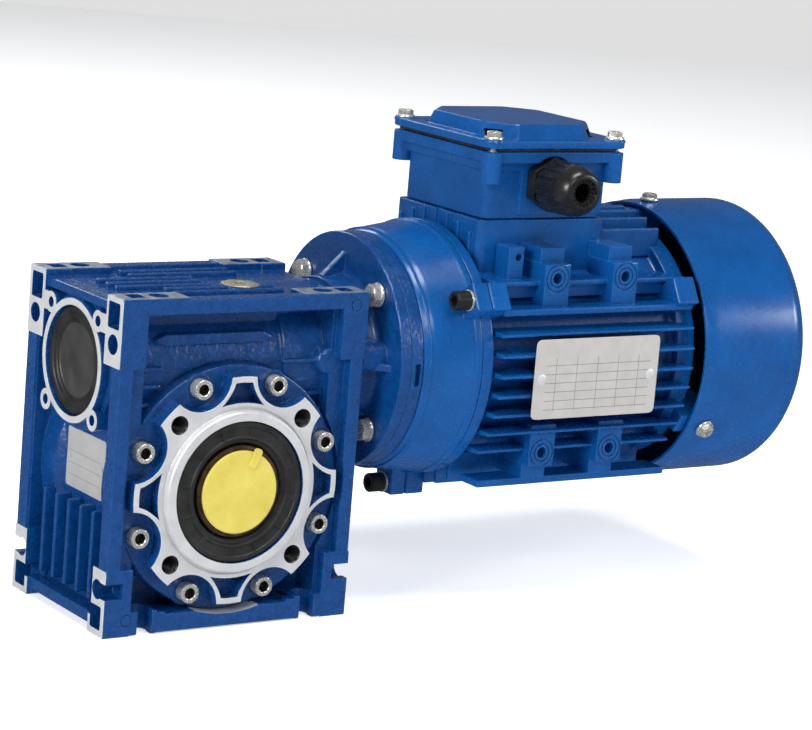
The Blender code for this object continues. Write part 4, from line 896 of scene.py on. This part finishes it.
# ---------------------------------------------------------------- input flange and motor
def input_flange():
    start, back, face = FLANGE_LOW.x, DISC_BACK, DISC_FACE
    section = rounded([(start, 15.5), (start, 32.6), (back, 34.5), (back, DISC_R), (face, DISC_R),
                       (face, 35.0), (79.0, 35.0), (79.0, 27.0), (70.0, 27.0), (70.0, 15.5)],
                      [0, 0.4, 3.0, 1.0, 0.6, 0, 0, 0, 0, 0])
    adds = []
    for k in range(8):
        rib = plate("Y", [(start + 1, 31.0), (start + 1, 33.6), (back + 1, 45.0 if k % 2 == 0 else 38.0),
                          (back + 1, 31.0)], -1.6, 1.6, (0, WORM_Z), 0.5)
        rib.data.transform(x_turn(45 * k))
        adds.append(rib)
    adds.append(rod((start + 0.2, -34.0, WORM_Z + 3.5), (back + 1, -34.0, WORM_Z + 3.5), 6.4, MEDIUM, 7.0))
    adds.append(turned("X", rounded([(76.4, 48), (76.4, DISC_R), (80.0, DISC_R), (80.0, 48)], 0), FINE,
                       WORM_AT))
    cuts = [block((79.6, -54.0, WORM_Z - 6.5), (82.4, -49.5, WORM_Z + 3.5), 0.3)]
    ring = turned("X", [(77.2, DISC_R - 0.35), (77.2, DISC_R + 2), (77.7, DISC_R + 2),
                        (77.7, DISC_R - 0.35)],
                  FINE, WORM_AT)
    cuts.append(ring)
    for sy, sz in SIGNS:
        y, z = sy * around(45, FLANGE_BOLT_AT)[0], WORM_Z + sz * around(45, FLANGE_BOLT_AT)[1]
        cuts.append(rod((back - 1, y, z), (face + 1, y, z), 3.4))
        cuts.append(rod((start + 1, y, z), (back, y, z), 6.6, MEDIUM))

    place("input_flange", turned("X", section, FINE, WORM_AT), [CAST_PAINT], adds, cuts)
    for k, (sy, sz) in enumerate(SIGNS):
        y, z = sy * around(45, FLANGE_BOLT_AT)[0], WORM_Z + sz * around(45, FLANGE_BOLT_AT)[1]
        spin = Matrix.Rotation(math.radians(20 + 25 * k), 4, "Z")
        flange_screw(f"flange_bolt_{k + 1}", (back - 0.3, y, z), FACING["-X"] @ spin, 5.0, 4.6, 2.9, 18.0,
                     5.5)


def lugs(low, high, reach, half, bevel=1.0):
    return [block((low, 48.0, WORM_Z - half), (high, reach, WORM_Z + half), bevel, 3,
                  x_turn(a)) for a in LUG_ANGLES]


def lug_holes(low, high, radius):
    holes = []
    for angle in LUG_ANGLES:
        y, z = around(angle, LUG_AT)
        holes.append(rod((low, y, WORM_Z + z), (high, y, WORM_Z + z), radius))
    return holes


def shield():
    rear = 111.4
    section = rounded([(80.0, 17.8), (80.0, 34.7), (SHIELD_FACE, 34.7), (SHIELD_FACE, DISC_R), (89.0, 54.2),
                       (rear - 3.2, RIM_R - 0.7), (rear - 3.2, RIM_R), (rear, RIM_R), (rear, 48.0),
                       (96.0, 46.0),
                       (96.0, 23.0), (112.0, 23.0), (112.0, 17.8), (100.0, 17.8), (100.0, 10.0),
                       (83.0, 10.0),
                       (83.0, 17.8)], [0, 0, 0, 1.2, 8, 0.3, 0.5, 0.5, 0, 2, 2, 0, 0, 0, 0, 0, 0])
    cuts = lug_holes(100, 114, 3.3)
    for sy, sz in SIGNS:
        y, z = sy * around(45, FLANGE_BOLT_AT)[0], WORM_Z + sz * around(45, FLANGE_BOLT_AT)[1]
        cuts.append(rod((80, y, z), (92.5, y, z), 3.4))
    seams = turned("X", [(86.2, 50), (86.2, DISC_R + 1.6), (87.0, DISC_R + 1.6), (87.0, 50)], FINE, WORM_AT)
    place("drive_end_shield", turned("X", section, FINE, WORM_AT), [SMOOTH_PAINT],
          lugs(103.5, rear, 68.0, 6.5) + [seams], cuts)
    for k, angle in enumerate(LUG_ANGLES):
        y, z = around(angle, LUG_AT)
        node = f"shield_screw_{k + 1}"
        head_r, seat = 4.7, 103.2
        profile = rounded([(-15.0, 0), (-15.0, 2.9), (0, 2.9), (0, 4.7), (0.9, 4.7), (0.9, head_r - 0.35),
                           (8.0, head_r - 0.35), (8.0, 0)], [0, 0.3, 0, 0.1, 0.1, 0.1, 0.6, 0], 3)
        body, hole = turned("Z", profile, MEDIUM), rod((0, 0, 4.2), (0, 0, 9), 2.75, 6)
        put = Matrix.Translation((seat, y, WORM_Z + z)) @ FACING["-X"]
        for shape in (body, hole):
            shape.data.transform(put)
        place(node, body, [BLACK_STEEL_AND_SHADE, STEEL], cuts=[hole],
              faces=lambda centre, normal, corners: 1 if centre.x > seat - 1.0 else 0)


def side_fin(offset, root, tip, side):
    """The section of one cooling fin on a side, thick at the root with a round tip."""
    thick, thin = 1.45, 0.95
    corners = [(side * root, offset - thick), (side * (tip - 0.9), offset - thin),
               (side * tip, offset - thin * 0.45),
               (side * tip, offset + thin * 0.45), (side * (tip - 0.9), offset + thin),
               (side * root, offset + thick)]
    return corners


def motor_frame():
    low, high = 119.0, 226.5
    section = rounded([(FRAME_FRONT, STATOR_R - 1), (FRAME_FRONT, RIM_R), (117.3, RIM_R), (117.3, BARREL_R),
                       (222.0, BARREL_R), (222.0, 56.0), (FRAME_REAR, 56.0), (FRAME_REAR, STATOR_R - 1)],
                      [0, 0.5, 0.8, 3.0, 2.0, 0.6, 0.6, 0])
    adds = []
    for k in range(7):
        offset = TOP_SIDE_FIN - FIN_PITCH * k
        for side in (-1, 1):
            tip = math.sqrt(FIN_R ** 2 - offset ** 2)
            adds.append(plate("X", side_fin(offset, 40, tip, side), low, high, (0, WORM_Z), 0.5))
    for k in range(-3, 4):
        offset = FIN_PITCH * k
        tip = math.sqrt(FIN_R ** 2 - offset ** 2)
        for side in (-1, 1):
            outline = [(v, u) for u, v in side_fin(offset, 44, tip, side)]
            adds.append(plate("X", outline, low, high, (0, WORM_Z), 0.5))
    for side in (-1, 1):
        for z0, z1, reach in ((24.0, 27.0, 57.5), (35.6, 38.0, 49.5), (-55.4, -52.0, 48.2)):
            y0, y1 = span(side * 34, side * reach)
            adds.append(block((121, y0, WORM_Z + z0), (FRAME_REAR - 1, y1, WORM_Z + z1), 0.8))
        y0, y1 = span(side * 30, side * 46)
        adds.append(block((121, y0, WORM_Z + 30), (FRAME_REAR - 1, y1, WORM_Z + 36)))
    adds += lugs(FRAME_FRONT, 121.5, 68.0, 6.5) + lugs(216.0, FRAME_REAR - 0.2, 67.0, 6.5)
    for x in PAD_XS:
        for sy, sz in SIGNS:
            y0, y1 = span(sy * 34, sy * PAD_FACE)
            z0, z1 = span(sz * 26.8, sz * 46.0)
            adds.append(block((x - 7, y0, WORM_Z + z0), (x + 7, y1, WORM_Z + z1), 0.7))
            y0, y1 = span(sy * 26, sy * 48.4)
            z0, z1 = span(sz * 30.0, sz * 52.6)
            adds.append(block((x - 6.6, y0, WORM_Z + z0), (x + 6.6, y1, WORM_Z + z1), 0.7))
    plinth = rounded([(BOX_X[0] - 2.5, -BOX_HALF_Y - 1.5), (BOX_X[1] + 1.5, -BOX_HALF_Y - 1.5),
                      (BOX_X[1] + 1.5, BOX_HALF_Y + 1.5), (BOX_X[0] - 2.5, BOX_HALF_Y + 1.5)], 4.0)
    adds.append(plate("Z", plinth, WORM_Z + 38, BOX_FLOOR - 0.3, (0, 0), 0.5))
    adds.append(block((130.0, -44.5, WORM_Z + 36), (138.5, -34, WORM_Z + 52.5), 0.6))
    cuts = [barrel("X", FRAME_FRONT - 4, FRAME_REAR + 4, STATOR_R, FINE, WORM_AT),
            rod((150, 0, WORM_Z + 30), (150, 0, WORM_Z + 80), 8.0),
            rod((135.4, -50, WORM_Z + 47.8), (135.4, -38, WORM_Z + 47.8), 1.7)]
    cuts += lug_holes(108, 119, 3.2)
    for x in PAD_XS:
        for sy, sz in SIGNS:
            z = WORM_Z + sz * PAD_HOLE
            cuts.append(rod((x, sy * (PAD_FACE - 9), z), (x, sy * (PAD_FACE + 2), z), 2.5))
            for inner, outer in ((3.5, 4.3), (5.6, 6.5)):
                cuts.append(turned("Y", [(sy * (PAD_FACE - 0.7), inner), (sy * (PAD_FACE + 1), inner),
                                         (sy * (PAD_FACE + 1), outer), (sy * (PAD_FACE - 0.7), outer)],
                                   MEDIUM,
                                   (x, 0, z)))
    place("motor_frame", turned("X", section, FINE, WORM_AT), [SMOOTH_PAINT], adds, cuts)


def fan_end():
    rear = FRAME_REAR + 0.3
    section = rounded([(224.0, 17.8), (224.0, 23.0), (rear, 26.0), (rear, 55.5), (rear + 4.0, 55.5),
                       (rear + 5.0, 30.0), (240.0, 21.0), (240.0, 10.5), (236.4, 10.5), (236.4, 17.8)],
                      [0, 0, 0, 0, 1.0, 4, 1.5, 0, 0, 0])
    bosses, holes = [], []
    for angle in COWL_ANGLES:
        bosses.append(block((rear, 44.0, WORM_Z - 5.0), (COWL_SCREW_X + 4.5, 61.5, WORM_Z + 5.0), 0.8, 2,
                            x_turn(angle)))
        y, z = around(angle, 1.0)
        holes.append(rod((COWL_SCREW_X, y * 52, WORM_Z + z * 52), (COWL_SCREW_X, y * 64, WORM_Z + z * 64),
                         2.3))
    place("fan_end_shield", turned("X", section, FINE, WORM_AT), [SMOOTH_PAINT], bosses, holes)

    hub = rounded([(247.0, 6.3), (247.0, 13.0), (248.0, 50.0), (250.5, 50.0), (250.5, 13.0), (262.0, 12.0),
                   (262.0, 6.3)], [0, 3, 0.6, 0.6, 3, 0.8, 0], 4)
    blades = [plate("Z", rounded([(249.0, 9.0), (264.0, 9.0), (266.0, 24.0), (266.0, 52.0), (249.0, 52.0)],
                                 [0, 2, 4, 3, 0], 4), WORM_Z - 0.9, WORM_Z + 0.9, (0, 0),
                    0.3) for k in range(8)]
    for k, blade in enumerate(blades):
        blade.data.transform(x_turn(45 * k))
    place("fan", turned("X", hub, MEDIUM, WORM_AT), [BLACK_PLASTIC], blades,
          [barrel("X", 240, 270, 6.3, MEDIUM, WORM_AT)])


def cowl():
    skin, bend_r = 1.4, 11.0
    start = COWL_REAR - bend_r
    outside = [(COWL_FRONT, 64.1), (COWL_FRONT + 2.0, 64.1), (COWL_FRONT + 8, COWL_R), (start, COWL_R)]
    steps = 10
    for step in range(1, steps + 1):
        bend = math.radians(90 * step / steps)
        outside.append((start + bend_r * math.sin(bend), COWL_R - bend_r * (1 - math.cos(bend))))
    inside = [(COWL_FRONT, 64.1 - skin), (COWL_FRONT + 8, COWL_R - skin), (start, COWL_R - skin)]
    for step in range(1, steps + 1):
        bend = math.radians(90 * step / steps)
        inside.append((start + (bend_r - skin) * math.sin(bend),
                       COWL_R - skin - (bend_r - skin) * (1 - math.cos(bend))))
    profile = [(COWL_REAR, 0)] + outside[::-1] + inside + [(COWL_REAR - skin, 0)]
    cuts = []
    for k in range(16):
        slot_shape = rounded([(16.0, -2.0), (47.0, -2.6), (47.0, 2.6), (16.0, 2.0)], 1.9)
        slot_cut = plate("X", slot_shape, COWL_REAR - 6, COWL_REAR + 4, (0, WORM_Z))
        slot_cut.data.transform(x_turn(22.5 * k))
        cuts.append(slot_cut)
    for angle in COWL_ANGLES:
        y, z = around(angle, 1.0)
        cuts.append(rod((COWL_SCREW_X, y * 60, WORM_Z + z * 60), (COWL_SCREW_X, y * 68, WORM_Z + z * 68),
                        2.4))
    place("fan_cowl", turned("X", profile, 128, WORM_AT), [SMOOTH_PAINT], cuts=cuts)
    for k, angle in enumerate(COWL_ANGLES):
        y, z = around(angle, COWL_R + 0.2)
        turn = Matrix.Rotation(math.radians(angle - 90), 4, "X")
        flange_screw(f"cowl_screw_{k + 1}", (COWL_SCREW_X, y, WORM_Z + z), turn, 3.6, 3.2, 1.9, 11.0, 4.6,
                     True)


# ---------------------------------------------------------------- terminal box
def lid_screw_place(sx, sy):
    middle, half = (LID_LOW.x + LID_HIGH.x) / 2, (LID_HIGH.x - LID_LOW.x) / 2 - 5.0
    return middle + sx * half, sy * (LID_HIGH.y - 5.0)


def corners_of(x, half_y, radius, chamfer=0.0):
    if not chamfer:
        return rounded([(x[0], -half_y), (x[1], -half_y), (x[1], half_y), (x[0], half_y)], radius, 6)
    c = chamfer
    return rounded([(x[0] + c, -half_y), (x[1] - c, -half_y), (x[1], -half_y + c), (x[1], half_y - c),
                    (x[1] - c, half_y), (x[0] + c, half_y), (x[0], half_y - c), (x[0], -half_y + c)],
                   radius, 5)


def terminal_box():
    x0, x1 = BOX_X
    screws = [lid_screw_place(sx, sy) for sx, sy in SIGNS]
    body = plate("Z", corners_of((x0, x1), BOX_HALF_Y, 5.0), BOX_FLOOR, BOX_TOP - 1, (0, 0), 0.6)
    adds = [plate("Z", corners_of((x0 - 4.5, x1 + 5), BOX_HALF_Y + 6, 6.0), BOX_TOP - 5.0, BOX_TOP, (0, 0),
                  0.5),
            plate("Z", corners_of((x0 - 2.0, x1 + 2), BOX_HALF_Y + 2, 5.0), BOX_TOP - 9.5, BOX_TOP - 3,
                  (0, 0), 1.4),
            block((x0 + 18, -BOX_HALF_Y - 1.2, BOX_FLOOR + 2), (x1 - 1.5, -BOX_HALF_Y + 1, BOX_TOP - 3),
                  0.5),
            rod((GLAND_X, -BOX_HALF_Y - 1.15, GLAND_Z), (GLAND_X, -BOX_HALF_Y + 2, GLAND_Z), 13.4, MEDIUM)]
    adds += [rod((x, y, BOX_TOP - 14), (x, y, BOX_TOP - 0.5), 4.6, MEDIUM) for x, y in screws]
    cuts = [plate("Z", corners_of((x0 + 3, x1 - 3), BOX_HALF_Y - 3, 3.5), BOX_FLOOR + 3, BOX_TOP + 2),
            barrel("Y", -BOX_HALF_Y - 4, -BOX_HALF_Y + 6, 9.0, MEDIUM, (GLAND_X, 0, GLAND_Z)),
            barrel("Y", -BOX_HALF_Y - 8, -BOX_HALF_Y - 1.2, 12.9, MEDIUM, (GLAND_X, 0, GLAND_Z)),
            rod((150, 0, BOX_FLOOR - 2), (150, 0, BOX_FLOOR + 5), 8.0)]
    cuts += [rod((x, y, BOX_TOP - 12), (x, y, BOX_TOP + 2), 2.2) for x, y in screws]
    place("terminal_box", body, [SMOOTH_PAINT], adds, cuts)

    low, high = limits("terminal_box_gasket")
    gasket = plate("Z", corners_of((low.x, high.x), high.y, 5.0), low.z, high.z)
    cuts = [plate("Z", corners_of((x0 + 3, x1 - 3), BOX_HALF_Y - 3, 3.5), low.z - 2, high.z + 2)]
    cuts += [rod((x, y, low.z - 2), (x, y, high.z + 2), 2.2) for x, y in screws]
    place("terminal_box_gasket", gasket, [RUBBER], cuts=cuts)

    lid = plate("Z", corners_of((LID_LOW.x, LID_HIGH.x), LID_HIGH.y, 6.5), LID_LOW.z, LID_FLANGE, (0, 0),
                0.9)
    inset = 9.0
    bm = bmesh.new()
    base_line = corners_of((LID_LOW.x + inset - 2.5, LID_HIGH.x - inset + 2.5), LID_HIGH.y - inset + 2.5,
                           5.0, 13.0)
    top_line = corners_of((LID_LOW.x + inset, LID_HIGH.x - inset), LID_HIGH.y - inset, 4.0, 12.0)
    near = [bm.verts.new((u, v, LID_FLANGE - 1)) for u, v in base_line]
    middle = [bm.verts.new((u, v, LID_HIGH.z - 0.8)) for u, v in top_line]
    centre_x = (LID_LOW.x + LID_HIGH.x) / 2
    far = [bm.verts.new((centre_x + (u - centre_x) * 0.975, v * 0.975, LID_HIGH.z)) for u, v in top_line]
    for one, two in ((near, middle), (middle, far)):
        for i in range(len(one)):
            j = (i + 1) % len(one)
            bm.faces.new((one[i], one[j], two[j], two[i]))
    bm.faces.new(near[::-1])
    bm.faces.new(far)
    adds = [as_object(bm)]
    adds += [rod((x, y, LID_FLANGE - 1), (x, y, LID_FLANGE + 0.15), 5.2, MEDIUM, 4.8) for x, y in screws]
    under = plate("Z", corners_of((x0 + 4, x1 - 4), BOX_HALF_Y - 5, 3.0), LID_LOW.z - 2, LID_HIGH.z - 3)
    cuts = [under] + [rod((x, y, LID_LOW.z - 2), (x, y, LID_FLANGE + 2), 2.2) for x, y in screws]
    place("terminal_box_lid", lid, [SMOOTH_PAINT], adds, cuts)
    for k, (x, y) in enumerate(screws):
        spin = Matrix.Rotation(math.radians(15 + 40 * k), 4, "Z")
        flange_screw(f"lid_screw_{k + 1}", (x, y, LID_FLANGE + 0.2), spin, 3.5, 3.4, 1.9, 15.0, 4.4, True)


def cable_gland():
    wall = -BOX_HALF_Y - 1.5
    centre = (GLAND_X, 0, GLAND_Z)
    body = rounded([(-27.0, 6.0), (-27.0, 8.6), (wall, 8.6), (wall, 12.4), (wall - 5.5, 12.4),
                    (wall - 5.5, 8.0),
                    (-58.0, 8.0), (-58.0, 6.0)], [0, 0, 0, 0.6, 0.6, 0, 0, 0], 3)
    notches = []
    for k in range(6):
        cut = block((12.4 * math.cos(math.pi / 6), wall - 7, -9), (16, wall + 1, 9))
        cut.data.transform(Matrix.Translation(centre) @ Matrix.Rotation(math.radians(60 * k), 4, "Y"))
        notches.append(cut)
    bars = [block((5.4, -57.8, -0.5), (6.4, -44.0, 0.5), 0.0) for k in range(10)]
    for k, bar in enumerate(bars):
        bar.data.transform(Matrix.Translation(centre) @ Matrix.Rotation(math.radians(36 * k), 4, "Y"))
    place("gland_body", turned("Y", body, MEDIUM, centre), [BLACK_PLASTIC], bars, notches)

    back, front = -40.0, -GLAND_END
    nut = [(back, 8.3), (back, 11.2), (-40.7, 11.8), (-51.5, 11.8), (-55.0, 11.5), (-57.8, 10.9),
           (-60.0, 10.0),
           (-61.4, 9.0), (front, 7.9), (front, 6.3), (front + 1.3, 6.1), (front + 1.3, 4.4), (-58.3, 4.4),
           (-58.3, 8.3)]
    flutes = []
    for k in range(18):
        x, z = around(20 * k, 12.5)
        flutes.append(rod((GLAND_X + x, back + 1, GLAND_Z + z),
                          (GLAND_X + x * 0.985, -54.5, GLAND_Z + z * 0.985),
                          1.75, 16, 1.3))
        spoke = block((4.2, front - 1, -0.28), (6.4, front + 2.0, 0.28))
        spoke.data.transform(Matrix.Translation(centre) @ Matrix.Rotation(math.radians(20 * k), 4, "Y"))
        flutes.append(spoke)
    place("gland_nut", turned("Y", nut, MEDIUM, centre), [BLACK_PLASTIC], cuts=flutes)


def motor_plate():
    low, high = limits("motor_nameplate")
    world_low, world_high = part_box("motor_nameplate")
    outline = rounded([(low.x, low.z), (high.x, low.z), (high.x, high.z), (low.x, high.z)], 3.0)
    lettering = printed_plate("motor_plate_print", world_low, world_high, 9, 6, (0.60, 0.58, 0.56))
    middle = (low.z + high.z) / 2
    rivets = []
    for x in (low.x + 4.2, high.x - 4.2):
        rivets.append(turned("Y", [(low.y + 0.5, 0), (low.y + 0.5, 2.4), (low.y + 0.25, 2.4),
                                   (low.y + 0.05, 1.7),
                                   (low.y, 0)], SMALL, (x, 0, middle)))
    place("motor_nameplate", plate("Y", outline, low.y + 0.3, high.y, (0, 0), 0.1), [lettering, MACHINED],
          rivets,
          faces=lambda centre, normal, corners: 1 if centre.y < low.y + 0.28 else 0)


housing()
cover()
seals_and_plugs()
output_shaft()
gearbox_trim()
input_flange()
shield()
motor_frame()
fan_end()
cowl()
terminal_box()
cable_gland()
motor_plate()


# ---------------------------------------------------------------- studio
def studio():
    low, high = cad_box
    floor_size = 6.0
    bm = bmesh.new()
    bmesh.ops.create_grid(bm, x_segments=8, y_segments=8, size=floor_size)
    mesh = bpy.data.meshes.new("floor")
    bm.to_mesh(mesh)
    bm.free()
    floor = bpy.data.objects.new("floor", mesh)
    floor.location.z = low.z - 0.0002
    bpy.context.scene.collection.objects.link(floor)
    material, nodes, links, shader = node_material("studio_floor")
    shader.inputs["Base Color"].default_value = (0.92, 0.93, 0.94, 1)
    shader.inputs["Roughness"].default_value = 0.75
    shader.inputs["Specular IOR Level"].default_value = 0.15
    shader.inputs["Emission Color"].default_value = (1, 1, 1, 1)
    shader.inputs["Emission Strength"].default_value = 0.5
    floor.data.materials.append(material)
    floor.visible_glossy = False

    wall_bm = bmesh.new()
    bmesh.ops.create_grid(wall_bm, x_segments=8, y_segments=8, size=floor_size)
    bmesh.ops.rotate(wall_bm, verts=wall_bm.verts, matrix=Matrix.Rotation(math.pi / 2, 3, "X"))
    wall_mesh = bpy.data.meshes.new("backdrop")
    wall_bm.to_mesh(wall_mesh)
    wall_bm.free()
    wall = bpy.data.objects.new("backdrop", wall_mesh)
    wall.location = (1.6, 2.4, floor_size - 0.2)
    wall.rotation_euler.z = math.radians(-34.69)
    bpy.context.scene.collection.objects.link(wall)
    wall_material, _, _, wall_shader = node_material("studio_backdrop")
    wall_shader.inputs["Base Color"].default_value = (0.0, 0.0, 0.0, 1)
    wall_shader.inputs["Emission Color"].default_value = (1, 1, 1, 1)
    wall_shader.inputs["Emission Strength"].default_value = 0.72
    wall.visible_glossy = False
    wall.visible_diffuse = False
    wall.data.materials.append(wall_material)

    world = bpy.data.worlds.new("studio")
    world.use_nodes = True
    background = world.node_tree.nodes["Background"]
    background.inputs["Color"].default_value = (0.93, 0.96, 1.0, 1)
    background.inputs["Strength"].default_value = 0.13
    bpy.context.scene.world = world

    target = Vector((low + high) / 2)
    lamps = (("left", (-2.0, -0.6, 0.9), 0.9, 33.0, (1, 0.99, 0.97)),
             ("key", (-0.4, -1.9, 1.4), 0.8, 9.5, (1, 0.99, 0.97)),
             ("right", (1.8, -1.3, 0.7), 0.6, 12.0, (0.97, 0.98, 1)),
             ("top", (0.0, -0.5, 2.1), 1.1, 28.0, (1, 1, 1)),
             ("back", (0.2, 1.9, 1.3), 1.0, 12.0, (0.95, 0.98, 1)))
    for name, at, size, power, colour in lamps:
        lamp = bpy.data.lights.new(name, "AREA")
        lamp.shape = "RECTANGLE"
        lamp.size, lamp.size_y = size, size * 0.6
        lamp.energy = power
        lamp.color = colour
        holder = bpy.data.objects.new(name, lamp)
        holder.location = at
        holder.rotation_euler = (target - Vector(at)).to_track_quat("-Z", "Y").to_euler()
        bpy.context.scene.collection.objects.link(holder)

    azimuth, elevation, roll = math.radians(-34.69), math.radians(11.23), math.radians(4.84)
    camera_data = bpy.data.cameras.new("camera")
    camera_data.sensor_width, camera_data.lens = 36.0, 131.8
    camera_data.clip_start, camera_data.clip_end = 0.05, 30.0
    camera = bpy.data.objects.new("camera", camera_data)
    forward = Vector((-math.sin(azimuth) * math.cos(elevation), math.cos(azimuth) * math.cos(elevation),
                      -math.sin(elevation)))
    level = forward.cross(Vector((0, 0, 1))).normalized()
    above = level.cross(forward)
    right = level * math.cos(roll) + above * math.sin(roll)
    up = forward.cross(right) * -1
    turn = Matrix((right, up, -forward)).transposed().to_4x4()
    camera.matrix_world = Matrix.Translation((-0.7587, -1.0855, 0.3630)) @ turn
    bpy.context.scene.collection.objects.link(camera)
    bpy.context.scene.camera = camera


studio()
bpy.context.scene.cycles.caustics_reflective = False
bpy.context.scene.view_settings.view_transform = "Standard"
bpy.context.view_layer.update()
